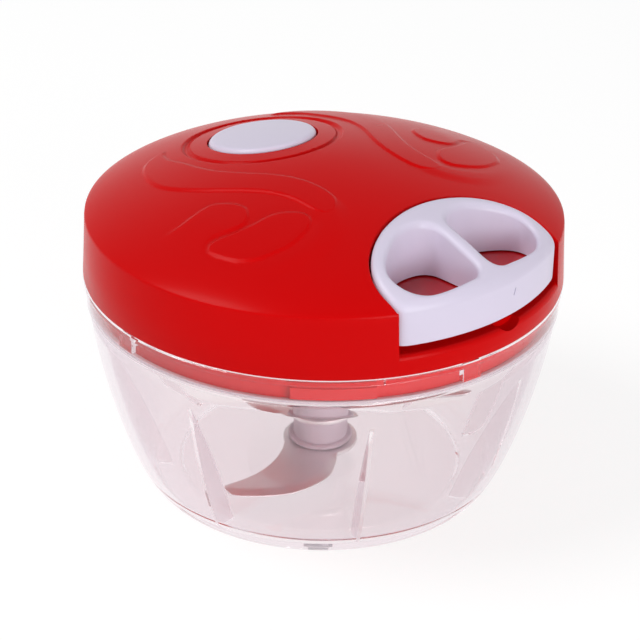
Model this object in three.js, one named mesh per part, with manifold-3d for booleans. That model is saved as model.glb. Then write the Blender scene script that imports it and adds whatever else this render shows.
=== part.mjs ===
import * as THREE from 'three';
import { mergeVertices } from 'three/addons/utils/BufferGeometryUtils.js';
import Module from 'manifold-3d';

const wasm = await Module();
wasm.setup();

// A pull-cord food chopper: a clear bowl, a domed lid that holds a cord drum with its recoil
// spring, a two-finger handle, a press button, and three curved blades on an upright shaft.
// Millimetres, +Z up. The origin is the centre of the bowl's underside, and the handle is
// pulled out along +X.

// Gaps and tessellation
const clearance = 0.3;
const runningGap = 0.5;
const overrun = 3;
const sliver = 0.01;
const mergeLength = 0.02;
const wideSides = 56;
const innerSides = 48;
const plainSides = 32;
const roundSides = 24;
const smallSides = 12;
const degree = Math.PI / 180;

// Bowl
const bowlHeight = 59.8;
const baseRadius = 45.8;
const shoulderRadius = 62.2;
const collarDepth = 7.6;
const shoulderDrop = 0.4;
const wallLowShares = [0.33, 0.031];
const wallHighShares = [0.907, 0.662];
const bowlWall = 2.2;
const floorThickness = 3;
const footWidth = 6.8;
const footDepth = 0.8;
const collarStep = 0.6;
const collarGrowth = 0.5;
const collarWall = 1.9;
const rimLip = 0.7;
const rimDepth = 1.2;
const seatWidth = 1.3;
const seatThickness = 0.8;
const seatSlope = 1.8;

// Fins inside the bowl
const finCount = 8;
const finFirstAngle = -32.4;
const finThickness = 1.2;
const finFootWidth = 5;
const finBendWidth = 4.2;
const finBendHeight = 22;
const finTopDrop = 6.2;

// Pivot pin and its boss on the bowl's floor
const pinRadius = 2.5;
const pinTop = 24;
const pinSink = 1.1;
const pinChamfer = 0.8;
const bossRadius = 6;
const bossHeight = 1.8;

// Bayonet between bowl and lid
const lugCount = 4;
const lugSpan = 20;
const lockTurn = 21;
const lugSlack = 0.7;
const stopAngle = -100;
const stopSpan = 5;
const bowlLugDrop = 0.4;
const bowlLugHeight = 2;
const bowlLugReach = 1.7;
const lidLugPlay = 0.8;
const lidLugReach = 1.6;

// Sealing ring on the bowl's seat
const sealHeight = 0.8;
const sealWidth = 1.4;

// Lid cover
const skirtHeight = 16.6;
const skirtDraft = 0.9;
const crownHeight = 15.5;
const crownPower = 1.8;
const crownEdgePower = 1.2;
const coverWall = 2;

// Handle and its recess in the lid
const handleRoom = 13.4;
const handleEndLength = 18.4;
const handleHalfWidth = 28.7;
const handleSetback = 0.3;
const handleProud = 0.8;
const handleLift = 1.8;
const handleInnerWall = 6;
const handleSideWall = 4.7;
const handleOuterWall = 3.4;
const handleWeb = 4;
const holeCorner = 5;
const holeShoulderShare = 0.65;
const holeBendShare = 0.435;
const recessGap = 0.4;
const recessRise = 5.5;
const ledgeThickness = 2.8;
const floorRise = 6.8;
const floorGap = 0.4;
const scoopRadius = 5.5;
const scoopDepth = 1.6;
const scoopLength = 3.6;
const scoopOffset = 3.5;

// Base cover under the lid
const plateRise = 0.4;
const plateThickness = 1.8;
const innerSkirtWall = 1.8;
const innerSkirtReach = 2.2;
const screwInset = 12.2;
const screwAngles = [62, 130, -130, -62];
const screwRadius = 1.3;
const screwLength = 11;
const screwHeadRadius = 2.6;
const screwHeadHeight = 1.6;
const screwHeadTipShare = 0.6;
const screwBossWall = 2.4;
const screwBossTop = 3;

// Cord drum
const cordDiameter = 1.5;
const cordTurns = 3.5;
const drumCoreRadius = 12.6;
const drumFlangeRadius = 18.8;
const drumFlange = 1.4;
const drumHeadroom = 8.6;
const drumCupDepth = 6.2;
const drumCupWall = 1.4;
const drumRise = 1.1;
const axleRadius = 2.5;
const axleSunk = 6.2;
const axleBossWall = 3.2;
const axleTopGap = 1.4;

// Recoil spring, its collar and the thrust washer
const collarBoreGap = 0.5;
const springCollarWall = 1.5;
const washerThickness = 0.7;
const springTurns = 4.5;
const springStrip = 0.5;
const springEdgeGap = 0.5;

// Drive socket, its screw and the shaft's top dogs
const socketRadius = 9;
const socketWall = 1.1;
const socketDrop = 3.9;
const socketDepth = 7.4;
const dogCount = 3;
const dogSpan = 25;
const dogReach = 2.9;
const dogHeight = 6.2;
const drumScrewRadius = 1.5;
const drumScrewLength = 7.6;
const drumScrewHeadRadius = 2.9;
const drumScrewHeadHeight = 1.6;
const shaftSealWidth = 2.2;
const shaftSealHeight = 2.3;
const shaftSealWall = 1.4;

// Blade shaft and blades
const shaftRadius = 7.4;
const shaftFlangeRadius = 9.6;
const shaftFlange = 1.2;
const shaftCoreRadius = 4.6;
const shaftFootGap = 0.4;
const bladeThickness = 1;
const bladeTipGap = 1.3;
const bladeHubRadius = 11.4;
const bladeFoldShare = 0.64;
const bladeFoldAngle = 7;
const bladeSpacing = 10;
const bladeAngles = [-90, 150, 30];
const bladeLeadShares = [[0.12, 0.29], [0.3, 0.4], [0.52, 0.41], [0.74, 0.35], [0.9, 0.26]];
const bladeTipShares = [[0.985, 0.19], [0.99, 0.12], [0.95, 0.08]];
const bladeTrailShares = [[0.8, 0.085], [0.6, 0.06], [0.45, 0.02], [0.3, -0.06], [0.16, -0.19]];

// Press button in the lid
const buttonRoom = 0.2;
const buttonRadius = 14.3;
const buttonProud = 0.6;
const buttonDepth = 4;
const buttonWall = 1.7;
const buttonTravel = 2.5;
const dishRadius = 20.5;
const dishGroove = 2;
const dishGrooveDepth = 0.9;
const dishDepth = 0.3;
const wellWall = 1.4;
const wellDepth = 10;
const postRadius = 2.4;
const postTip = 0.8;
const postGroove = 0.6;
const guideWall = 1.8;
const guideLength = 6.2;
const guideDrop = 3.4;
const guideRibWidth = 1.6;
const guideRibHeight = 3.6;
const guideRibDrop = 0.6;
const fingerRadius = 1.8;
const fingerInset = 3;
const clipThickness = 0.6;
const clipWidth = 2.3;
const buttonSpringWire = 0.6;
const buttonSpringTurns = 3;
const buttonSpringGap = 0.65;

// Cord guide and knot
const guideBoreRadius = 1.4;
const guideTubeRadius = 2.3;
const guideFlangeRadius = 3.3;
const guideFlange = 0.7;
const knotRadius = 1.9;
const knotInset = 3.4;
const cordStartGap = 0.6;
const cordRouteShares = [0.5, 0.9];
const guideExitShare = 0.1;

// Heights and radii that follow from the sizes above
const seatHeight = bowlHeight - collarDepth;
const shoulderHeight = seatHeight - shoulderDrop;
const collarRadius = shoulderRadius + collarGrowth;
const rimRadius = collarRadius + rimLip;
const collarInner = collarRadius - collarWall;
const lidBottom = bowlHeight + clearance;
const screwCircle = shoulderRadius - screwInset;
const crownBase = lidBottom + skirtHeight;
const plateBottom = lidBottom + plateRise;
const plateTop = plateBottom + plateThickness;
const bowlLugTop = bowlHeight - bowlLugDrop;
const bowlLugBottom = bowlLugTop - bowlLugHeight;
const bowlLugInner = collarInner - bowlLugReach;
const innerSkirtRadius = bowlLugInner - clearance;
const sealBottom = seatHeight + clearance;
const innerSkirtBottom = sealBottom + sealHeight + clearance;
const lidLugHeight = bowlLugBottom - innerSkirtBottom - lidLugPlay;
const finFootRadius = baseRadius - finFootWidth;
const finTopHeight = seatHeight - finTopDrop;
const crownRadius = rimRadius - skirtDraft;
const recessFloor = lidBottom + recessRise;
const handleBottom = recessFloor + handleLift;
const bossTop = floorThickness + bossHeight;
const drumCupBottom = plateTop + drumRise;
const drumCeiling = drumCupBottom + drumCupDepth;
const spoolBottom = drumCeiling + drumFlange;
const drumTop = crownBase + crownHeight - coverWall - drumHeadroom;
const spoolTop = drumTop - drumFlange;
const cordRadius = cordDiameter / 2;
const cordPitch = (spoolTop - spoolBottom - 2 * clearance - cordDiameter) / cordTurns;
const windingRadius = drumCoreRadius + clearance + cordRadius;
const cordHeight = spoolTop - clearance - cordRadius;
const axleBottom = drumTop - axleSunk;
const socketTop = drumCeiling - clearance;
const socketBottom = plateBottom - socketDrop;
const socketCavityTop = socketBottom + socketDepth;
const shaftTop = socketBottom - shaftFootGap;
const dogTop = shaftTop + dogHeight;
const collarBore = socketRadius + collarBoreGap;
const springCollarTop = drumCeiling - clearance - washerThickness - clearance;
const springCollarRadius = collarBore + springCollarWall;
const drumScrewHeadTop = socketCavityTop + drumScrewHeadHeight + clearance;
const handleInner = drumFlangeRadius + handleRoom;
const handleShoulder = handleInner + handleEndLength;
const handleReach = crownRadius - handleSetback;
const raisedFloor = recessFloor + floorRise;
const frontWallInner = handleReach - handleOuterWall;
const sleeveRadius = postRadius + clearance + guideWall;
const buttonOffset = drumFlangeRadius + runningGap + sleeveRadius + buttonRoom;
const shaftFoot = bossTop + shaftFootGap;
const bladeReach = finFootRadius - bladeTipGap;
const lowestBlade = shaftFoot + shaftFlange + clearance + bladeThickness / 2;
const bladeHeights = bladeAngles.map((_, i) => lowestBlade + i * bladeSpacing);

// Turning three.js geometry into solids and back
function solid(geometry) {
  const bare = geometry.clone();
  bare.deleteAttribute('normal');
  bare.deleteAttribute('uv');
  const merged = mergeVertices(bare);
  const place = merged.attributes.position.array;
  const corners = [];
  let volume = 0;
  for (let i = 0; i < merged.index.count; i += 3) {
    const [a, b, c] = [0, 1, 2].map((k) => merged.index.getX(i + k));
    if (a === b || b === c || c === a) continue;
    corners.push([a, b, c]);
    const [p, q, r] = [a, b, c].map((v) => new THREE.Vector3().fromArray(place, 3 * v));
    volume += p.dot(q.cross(r));
  }
  const outward = volume > 0 ? corners : corners.map(([a, b, c]) => [a, c, b]);
  const mesh = new wasm.Mesh({
    numProp: 3,
    vertProperties: new Float32Array(place),
    triVerts: new Uint32Array(outward.flat()),
  });
  return new wasm.Manifold(mesh);
}

// Cuts can leave tiny edges, which are merged, and slivers with no volume, which are dropped
function geometryOf(body) {
  const pieces = body.simplify(mergeLength).decompose().filter((piece) => piece.volume() > sliver);
  const mesh = wasm.Manifold.compose(pieces).getMesh();
  const geometry = new THREE.BufferGeometry();
  geometry.setAttribute('position', new THREE.BufferAttribute(mesh.vertProperties, mesh.numProp));
  geometry.setIndex(new THREE.BufferAttribute(mesh.triVerts, 1));
  geometry.computeVertexNormals();
  return geometry;
}

const joined = (...bodies) => bodies.reduce((whole, body) => whole.add(body));
const cut = (body, ...tools) => tools.reduce((rest, tool) => rest.subtract(tool), body);

// Basic shapes, each standing upright at its real place
function lathe(points, sides = wideSides) {
  const profile = points.map(([radius, height]) => new THREE.Vector2(radius, height));
  return solid(new THREE.LatheGeometry(profile, sides).rotateX(Math.PI / 2));
}

function rod(radius, bottom, top, sides = plainSides, x = 0, y = 0) {
  const geometry = new THREE.CylinderGeometry(radius, radius, top - bottom, sides);
  geometry.rotateX(Math.PI / 2).translate(x, y, (top + bottom) / 2);
  return solid(geometry);
}

function rodAlongX(radius, from, to, y, z, sides = smallSides) {
  const geometry = new THREE.CylinderGeometry(radius, radius, to - from, sides);
  geometry.rotateZ(Math.PI / 2).translate((from + to) / 2, y, z);
  return solid(geometry);
}

function ring(inner, outer, bottom, top, sides = wideSides) {
  return lathe([[inner, bottom], [outer, bottom], [outer, top], [inner, top], [inner, bottom]], sides);
}

function block(x0, x1, y0, y1, z0, z1) {
  const geometry = new THREE.BoxGeometry(x1 - x0, y1 - y0, z1 - z0);
  geometry.translate((x0 + x1) / 2, (y0 + y1) / 2, (z0 + z1) / 2);
  return solid(geometry);
}

function plate(shape, bottom, top, steps = 8) {
  const geometry = new THREE.ExtrudeGeometry(shape, {
    depth: top - bottom, bevelEnabled: false, curveSegments: steps,
  });
  return solid(geometry.translate(0, 0, bottom));
}

function sector(inner, outer, start, end, bottom, top) {
  const shape = new THREE.Shape();
  shape.absarc(0, 0, outer, start * degree, end * degree, false);
  shape.absarc(0, 0, inner, end * degree, start * degree, true);
  shape.closePath();
  return plate(shape, bottom, top);
}

function fan(count, make) {
  return joined(...Array.from({ length: count }, (_, i) => make((360 / count) * i)));
}

// A closed tube of any section along measured points, with flat ends
function sweep(points, section, sideways) {
  const vertices = [];
  const faces = [];
  const sides = section.length;
  points.forEach((point, i) => {
    const [across, up] = sideways(i);
    for (const [a, b] of section) {
      vertices.push(point.clone().addScaledVector(across, a).addScaledVector(up, b));
    }
    if (i === 0) return;
    for (let k = 0; k < sides; k++) {
      const next = (k + 1) % sides;
      const [p, q] = [(i - 1) * sides + k, (i - 1) * sides + next];
      faces.push(p, q, q + sides, p, q + sides, p + sides);
    }
  });
  const last = (points.length - 1) * sides;
  for (let k = 1; k < sides - 1; k++) {
    faces.push(0, k + 1, k, last, last + k, last + k + 1);
  }
  const geometry = new THREE.BufferGeometry().setFromPoints(vertices);
  geometry.setIndex(faces);
  return solid(geometry);
}

const circleSection = (radius, sides) => Array.from({ length: sides }, (_, k) => {
  const angle = (2 * Math.PI * k) / sides;
  return [radius * Math.cos(angle), radius * Math.sin(angle)];
});

// A wound tube: its gap to the next turn is measured on its own points
function selfGap(points, radius, stepsPerTurn) {
  let least = Infinity;
  points.forEach((p, i) => {
    for (let j = i + Math.round(stepsPerTurn / 2); j < points.length; j++) {
      least = Math.min(least, p.distanceTo(points[j]) - 2 * radius);
    }
  });
  return least;
}

// The bowl's wall: one curve from the base to the shoulder, moved in by an offset
const wallCurve = new THREE.CubicBezierCurve(
  new THREE.Vector2(baseRadius, 0),
  new THREE.Vector2(
    baseRadius + wallLowShares[0] * (shoulderRadius - baseRadius), wallLowShares[1] * shoulderHeight),
  new THREE.Vector2(
    baseRadius + wallHighShares[0] * (shoulderRadius - baseRadius), wallHighShares[1] * shoulderHeight),
  new THREE.Vector2(shoulderRadius, shoulderHeight),
);

function wallPoints(offset, steps = 8) {
  return Array.from({ length: steps + 1 }, (_, i) => {
    const point = wallCurve.getPoint(i / steps);
    const along = wallCurve.getTangent(i / steps);
    return [point.x - offset * along.y, point.y + offset * along.x];
  });
}

function wallRadius(height, offset) {
  const points = wallPoints(offset, wideSides);
  return points.find(([, z]) => z >= height)[0];
}

function bowlProfile() {
  const outer = wallPoints(0);
  const seatInner = collarInner - seatWidth;
  const seatUnder = seatHeight - seatThickness;
  const wallTop = seatUnder - seatSlope;
  const inner = wallPoints(bowlWall).filter(([, z]) => z > floorThickness + bowlWall && z < wallTop);
  const [lowRadius] = inner[0];
  return [
    [0, footDepth],
    [baseRadius - footWidth - footDepth, footDepth],
    [baseRadius - footWidth, 0],
    ...outer,
    [collarRadius, shoulderHeight + collarStep],
    [collarRadius, bowlHeight - rimDepth - rimLip],
    [rimRadius, bowlHeight - rimDepth],
    [rimRadius, bowlHeight],
    [collarInner, bowlHeight],
    [collarInner, seatHeight],
    [seatInner, seatHeight],
    [seatInner, seatUnder],
    ...inner.reverse(),
    [lowRadius - bowlWall, floorThickness],
    [0, floorThickness],
  ];
}

// One fin: a thin upright web from the floor to high on the wall
function fin(angle) {
  const edge = new THREE.QuadraticBezierCurve(
    new THREE.Vector2(finFootRadius, floorThickness / 2),
    new THREE.Vector2(finFootRadius + finBendWidth, finBendHeight),
    new THREE.Vector2(wallRadius(finTopHeight, bowlWall / 2), finTopHeight),
  );
  const lowest = floorThickness / 2;
  const back = wallPoints(bowlWall / 2).filter(([, z]) => z > lowest && z < finTopHeight - bowlWall);
  const outline = edge.getPoints(6);
  outline.push(...back.reverse().map(([radius, z]) => new THREE.Vector2(radius, z)));
  const geometry = new THREE.ExtrudeGeometry(new THREE.Shape(outline), {
    depth: finThickness, bevelEnabled: false,
  });
  geometry.translate(0, 0, -finThickness / 2).rotateX(Math.PI / 2).rotateZ(angle * degree);
  return solid(geometry);
}

function bowl() {
  const weld = collarInner + collarWall / 2;
  const lugs = fan(lugCount, (turn) => joined(
    sector(bowlLugInner, weld, stopAngle - lugSpan + turn, stopAngle + stopSpan + turn,
      bowlLugBottom, bowlLugTop),
    sector(bowlLugInner, weld, stopAngle + turn, stopAngle + stopSpan + turn,
      innerSkirtBottom, bowlLugTop),
  ));
  const boss = rod(bossRadius, floorThickness / 2, bossTop);
  const bore = rod(pinRadius + clearance, pinSink, bossTop + overrun);
  const fins = fan(finCount, (turn) => fin(finFirstAngle + turn));
  return cut(joined(lathe(bowlProfile()), fins, lugs, boss), bore);
}

function pivotPin() {
  return lathe([
    [0, pinSink + clearance],
    [pinRadius, pinSink + clearance],
    [pinRadius, pinTop - pinChamfer],
    [pinRadius - pinChamfer, pinTop],
    [0, pinTop],
  ], smallSides);
}

function sealRing() {
  const outer = collarInner - clearance;
  return ring(outer - sealWidth, outer, sealBottom, sealBottom + sealHeight, innerSides);
}

// The lid's crown: height of its outer face at any radius, lowered by a depth
function crownHeightAt(radius, depth = 0) {
  const share = Math.min(radius / (crownRadius - depth), 1);
  const fall = (1 - share ** crownPower) ** (1 / crownEdgePower);
  return crownBase + (crownHeight - depth) * fall;
}

function crownPoints(depth, steps = 9) {
  return Array.from({ length: steps + 1 }, (_, i) => {
    const radius = i === steps ? 0 : (crownRadius - depth) * Math.cos((Math.PI / 2) * (i / steps));
    return [radius, crownHeightAt(radius, depth)];
  });
}

function crownSolid(depth, bottom, skirt) {
  return lathe([[0, bottom], [skirt - depth, bottom], ...crownPoints(depth)]);
}

// The crown raised or lowered as a whole, with plain sides, to shape what follows it
function crownLevel(shift, radius = crownRadius) {
  const points = crownPoints(0).slice(1).map(([r, z]) => [r, z + shift]);
  return lathe([[0, lidBottom], [radius, lidBottom], [radius, crownBase + shift], ...points]);
}

// Seen from above, the handle is a half oval that runs on straight to the lid's edge
function handlePlan(offset, reach) {
  const halfWidth = handleHalfWidth + offset;
  const shape = new THREE.Shape();
  shape.moveTo(reach, -halfWidth);
  shape.lineTo(reach, halfWidth);
  shape.lineTo(handleShoulder, halfWidth);
  shape.absellipse(handleShoulder, 0, handleShoulder - handleInner + offset, halfWidth,
    Math.PI / 2, (3 * Math.PI) / 2, false, 0);
  shape.closePath();
  return shape;
}

function topCover() {
  const reach = rimRadius + overrun;
  const highest = crownBase + crownHeight + overrun;
  const inside = crownLevel(-coverWall / 2, crownRadius - clearance);

  // The recess has a raised floor under the finger holes and a ledge under the handle's front wall
  const recess = (offset, floorHeight, ledgeHeight, ledgeInner) => {
    const plan = handlePlan(offset, reach);
    return joined(
      plate(plan, floorHeight, highest, 16),
      cut(plate(plan, ledgeHeight, highest, 16),
        rod(ledgeInner, lidBottom - overrun, highest + overrun, wideSides)),
    );
  };
  const pocketWall = recess(recessGap + coverWall, raisedFloor - coverWall,
    recessFloor - ledgeThickness, frontWallInner - floorGap - coverWall).intersect(inside);
  const pocket = recess(recessGap, raisedFloor, recessFloor, frontWallInner - floorGap);
  const scoop = rodAlongX(scoopRadius, rimRadius - scoopLength, reach, scoopOffset,
    recessFloor + scoopRadius - scoopDepth);
  const guideHole = rodAlongX(guideTubeRadius + clearance,
    handleInner - recessGap - coverWall - overrun, handleInner + overrun, 0, cordHeight);

  // Boss and bore for the drum's axle, and bosses for the cover screws
  const axleBoss = rod(axleRadius + clearance + axleBossWall, drumTop, highest);
  const axleBore = rod(axleRadius + clearance, drumTop, crownBase + crownHeight - coverWall, smallSides);
  const screwBosses = screwAngles.map((angle) => {
    const [x, y] = onCircle(screwCircle, angle);
    return rod(screwRadius + clearance + screwBossWall, plateTop + clearance, highest, smallSides, x, y);
  });
  const screwBores = screwAngles.map((angle) => {
    const [x, y] = onCircle(screwCircle, angle);
    return rod(screwRadius + clearance, plateTop, plateBottom + screwLength + screwBossTop, smallSides, x, y);
  });

  // Well, guide sleeve and dish of the button
  const bx = -buttonOffset;
  const guideTop = crownHeightAt(buttonOffset) + buttonProud - buttonDepth - guideDrop + clearance;
  const wellRadius = buttonRadius + runningGap;
  const wellBottom = crownHeightAt(buttonOffset) - wellDepth;
  const well = rod(wellRadius + wellWall, wellBottom, highest, plainSides, bx);
  const wellHollow = rod(wellRadius, wellBottom - overrun, highest, plainSides, bx);
  const drumRoom = rod(drumFlangeRadius + runningGap, lidBottom, drumTop + runningGap);
  const ribs = block(bx - guideRibWidth / 2, bx + guideRibWidth / 2,
    -wellRadius - wellWall / 2, wellRadius + wellWall / 2,
    guideTop - guideRibDrop - guideRibHeight, guideTop - guideRibDrop);
  const sleeve = rod(sleeveRadius, guideTop - guideLength, guideTop, plainSides, bx);
  const sleeveBore = rod(postRadius + clearance, guideTop - guideLength - overrun, guideTop + overrun,
    plainSides, bx);
  const grooveInner = dishRadius - dishGroove;
  const groove = cut(
    rod(dishRadius, crownBase, highest, plainSides, bx),
    rod(grooveInner, crownBase - overrun, highest + overrun, plainSides, bx),
    crownLevel(-dishGrooveDepth),
  );
  const dish = cut(rod(grooveInner + clearance, crownBase, highest, plainSides, bx), crownLevel(-dishDepth));

  const shell = cut(
    crownSolid(0, lidBottom, rimRadius),
    crownSolid(coverWall, lidBottom - overrun, rimRadius),
  );
  const fittings = joined(axleBoss, ...screwBosses, well).intersect(inside);
  const walls = cut(joined(shell, pocketWall, fittings), wellHollow, drumRoom);
  return cut(
    joined(walls, ribs, sleeve),
    pocket, scoop, guideHole, axleBore, ...screwBores, sleeveBore, groove, dish,
  );
}

function onCircle(radius, angle) {
  return [radius * Math.cos(angle * degree), radius * Math.sin(angle * degree)];
}

function baseCover() {
  const coverInnerRadius = rimRadius - coverWall
    - (rimRadius - crownRadius) * ((plateTop - lidBottom) / skirtHeight);
  const disc = lathe([
    [collarBore, plateBottom],
    [coverInnerRadius - clearance, plateBottom],
    [coverInnerRadius - clearance, plateTop],
    [collarBore, plateTop],
    [collarBore, plateBottom],
  ], innerSides);
  const skirt = ring(innerSkirtRadius - innerSkirtWall, innerSkirtRadius,
    innerSkirtBottom - innerSkirtReach, plateBottom + plateThickness / 2, innerSides);
  const lugEnd = stopAngle - lugSlack - lockTurn;
  const lugs = fan(lugCount, (turn) => sector(
    innerSkirtRadius - innerSkirtWall / 2, innerSkirtRadius + lidLugReach,
    lugEnd - lugSpan + turn, lugEnd + turn, innerSkirtBottom, innerSkirtBottom + lidLugHeight,
  ));
  const collar = ring(collarBore, springCollarRadius, plateBottom + plateThickness / 2,
    springCollarTop, plainSides);
  const sealSeatInner = socketRadius + clearance + shaftSealWidth + clearance;
  const sealSeat = ring(sealSeatInner, sealSeatInner + shaftSealWall,
    plateBottom - shaftSealHeight - clearance, plateBottom + plateThickness / 2, plainSides);
  const holes = screwAngles.map((angle) => {
    const [x, y] = onCircle(screwCircle, angle);
    return rod(screwRadius + clearance, plateBottom - overrun, plateTop + overrun, smallSides, x, y);
  });
  return cut(joined(disc, skirt, lugs, collar, sealSeat), ...holes);
}

function shaftSeal() {
  const inner = socketRadius + clearance;
  return ring(inner, inner + shaftSealWidth, plateBottom - clearance - shaftSealHeight,
    plateBottom - clearance, roundSides);
}

function screw(radius, length, headRadius, headHeight) {
  return lathe([
    [0, 0], [headRadius * screwHeadTipShare, 0], [headRadius, headHeight / 2], [headRadius, headHeight],
    [radius, headHeight], [radius, headHeight + length - radius], [0, headHeight + length],
  ], smallSides);
}

function drum() {
  const corePocket = rod(drumScrewRadius + clearance, drumCeiling - overrun,
    drumScrewHeadTop + drumScrewLength + clearance, smallSides);
  const axleHole = rod(axleRadius + clearance, axleBottom - clearance, drumTop + overrun, smallSides);
  const body = lathe([
    [0, drumCeiling],
    [drumFlangeRadius - drumCupWall, drumCeiling],
    [drumFlangeRadius - drumCupWall, drumCupBottom],
    [drumFlangeRadius, drumCupBottom],
    [drumFlangeRadius, spoolBottom],
    [drumCoreRadius, spoolBottom],
    [drumCoreRadius, spoolTop],
    [drumFlangeRadius, spoolTop],
    [drumFlangeRadius, drumTop],
    [0, drumTop],
  ], plainSides);
  return cut(body, corePocket, axleHole);
}

function drumAxle() {
  const top = crownBase + crownHeight - coverWall - axleTopGap;
  return rod(axleRadius, axleBottom, top, smallSides);
}

// The cord leaves the drum along its tangent and runs to the guide in the recess wall
const guideMouth = handleInner - recessGap - coverWall - guideFlange - clearance;
const cordBend = guideMouth - cordDiameter / 2;
const tangentAngle = -Math.acos(windingRadius / cordBend);

function cordWinding() {
  const stepsPerTurn = 24;
  const steps = Math.round(cordTurns * stepsPerTurn);
  const points = Array.from({ length: steps + 1 }, (_, i) => {
    const turns = i / stepsPerTurn;
    const angle = tangentAngle - 2 * Math.PI * turns;
    return new THREE.Vector3(
      windingRadius * Math.cos(angle), windingRadius * Math.sin(angle), cordHeight - cordPitch * turns);
  });
  console.log('cord winding, least gap between turns', selfGap(points, cordRadius, stepsPerTurn).toFixed(2));
  const up = new THREE.Vector3(0, 0, 1);
  return sweep(points, circleSection(cordRadius, 6), (i) => [
    new THREE.Vector3(points[i].x, points[i].y, 0).normalize(), up,
  ]);
}

function pullCord() {
  const start = new THREE.Vector3(
    windingRadius * Math.cos(tangentAngle), windingRadius * Math.sin(tangentAngle), cordHeight);
  const bend = new THREE.Vector3(cordBend, 0, cordHeight);
  const end = new THREE.Vector3(handleInner + knotInset - knotRadius - clearance, 0, cordHeight);
  const route = [
    start.clone().lerp(bend, cordStartGap / start.distanceTo(bend)),
    ...cordRouteShares.map((share) => start.clone().lerp(bend, share)),
    bend.clone().lerp(end, guideExitShare),
    end,
  ];
  const up = new THREE.Vector3(0, 0, 1);
  return sweep(route, circleSection(cordRadius, 8), (i) => {
    const before = route[Math.max(i - 1, 0)];
    const after = route[Math.min(i + 1, route.length - 1)];
    const along = after.clone().sub(before).normalize();
    return [new THREE.Vector3().crossVectors(along, up).normalize(), up];
  });
}

function cordKnot() {
  const geometry = new THREE.SphereGeometry(knotRadius, 12, 8);
  return solid(geometry.translate(handleInner + knotInset, 0, cordHeight));
}

function cordGuide() {
  const wall = handleInner - recessGap;
  const tube = rodAlongX(guideTubeRadius, guideMouth, wall, 0, cordHeight);
  const flange = rodAlongX(guideFlangeRadius, guideMouth, guideMouth + guideFlange, 0, cordHeight);
  const bore = rodAlongX(guideBoreRadius, guideMouth - overrun, wall + overrun, 0, cordHeight);
  return cut(joined(tube, flange), bore);
}

function recoilSpring() {
  const stepsPerTurn = 24;
  const steps = springTurns * stepsPerTurn;
  const inner = springCollarRadius + springEdgeGap;
  const outer = drumFlangeRadius - drumCupWall - springEdgeGap;
  const points = Array.from({ length: steps + 1 }, (_, i) => {
    const share = i / steps;
    const radius = inner + springStrip / 2 + (outer - inner - springStrip) * share;
    const angle = 2 * Math.PI * springTurns * share;
    return new THREE.Vector3(radius * Math.cos(angle), radius * Math.sin(angle), 0);
  });
  console.log('recoil spring, least gap between turns',
    selfGap(points, springStrip / 2, stepsPerTurn).toFixed(2));
  const bottom = plateTop + springEdgeGap;
  const top = springCollarTop - springEdgeGap;
  const section = [
    [-springStrip / 2, bottom], [springStrip / 2, bottom], [springStrip / 2, top], [-springStrip / 2, top],
  ];
  return sweep(points, section, (i) => [points[i].clone().normalize(), new THREE.Vector3(0, 0, 1)]);
}

function thrustWasher() {
  return ring(collarBore, springCollarRadius, springCollarTop + clearance,
    springCollarTop + clearance + washerThickness, roundSides);
}

function driveSocket() {
  const cavityRadius = socketRadius - socketWall;
  const body = lathe([
    [0, socketBottom], [socketRadius, socketBottom], [socketRadius, socketTop], [0, socketTop],
  ], plainSides);
  const cavity = rod(cavityRadius, socketBottom - overrun, socketCavityTop);
  const headRoom = rod(drumScrewHeadRadius + clearance, socketBottom, drumScrewHeadTop + clearance, smallSides);
  const bore = rod(drumScrewRadius + clearance, socketBottom, socketTop + overrun, smallSides);
  const dogs = fan(dogCount, (turn) => sector(cavityRadius - dogReach, cavityRadius + socketWall / 2,
    turn - dogSpan / 2, turn + dogSpan / 2, socketBottom, socketCavityTop + socketWall));
  return cut(joined(cut(body, cavity), dogs), headRoom, bore);
}

// The blade shaft turns on the pivot pin and ends in dogs that the socket pushes
function bladeShaft() {
  const bore = rod(pinRadius + runningGap, 0, pinTop + runningGap, smallSides);
  const collars = bladeHeights.map((height) => {
    const under = height - bladeThickness / 2 - clearance;
    const over = height + bladeThickness / 2 + clearance;
    return joined(
      rod(shaftFlangeRadius, under - shaftFlange, under, roundSides),
      rod(shaftFlangeRadius, over, over + shaftFlange, roundSides),
    );
  });
  const dogs = fan(dogCount, (turn) => sector(shaftCoreRadius / 2, shaftRadius,
    turn + 180 / dogCount - dogSpan / 2, turn + 180 / dogCount + dogSpan / 2,
    shaftTop - shaftFlange, dogTop));
  const stem = joined(
    rod(shaftRadius, shaftFoot, shaftTop, roundSides),
    rod(shaftCoreRadius, shaftTop - shaftFlange, dogTop, smallSides),
    dogs,
  );
  return cut(joined(stem, ...collars), bore);
}

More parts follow.
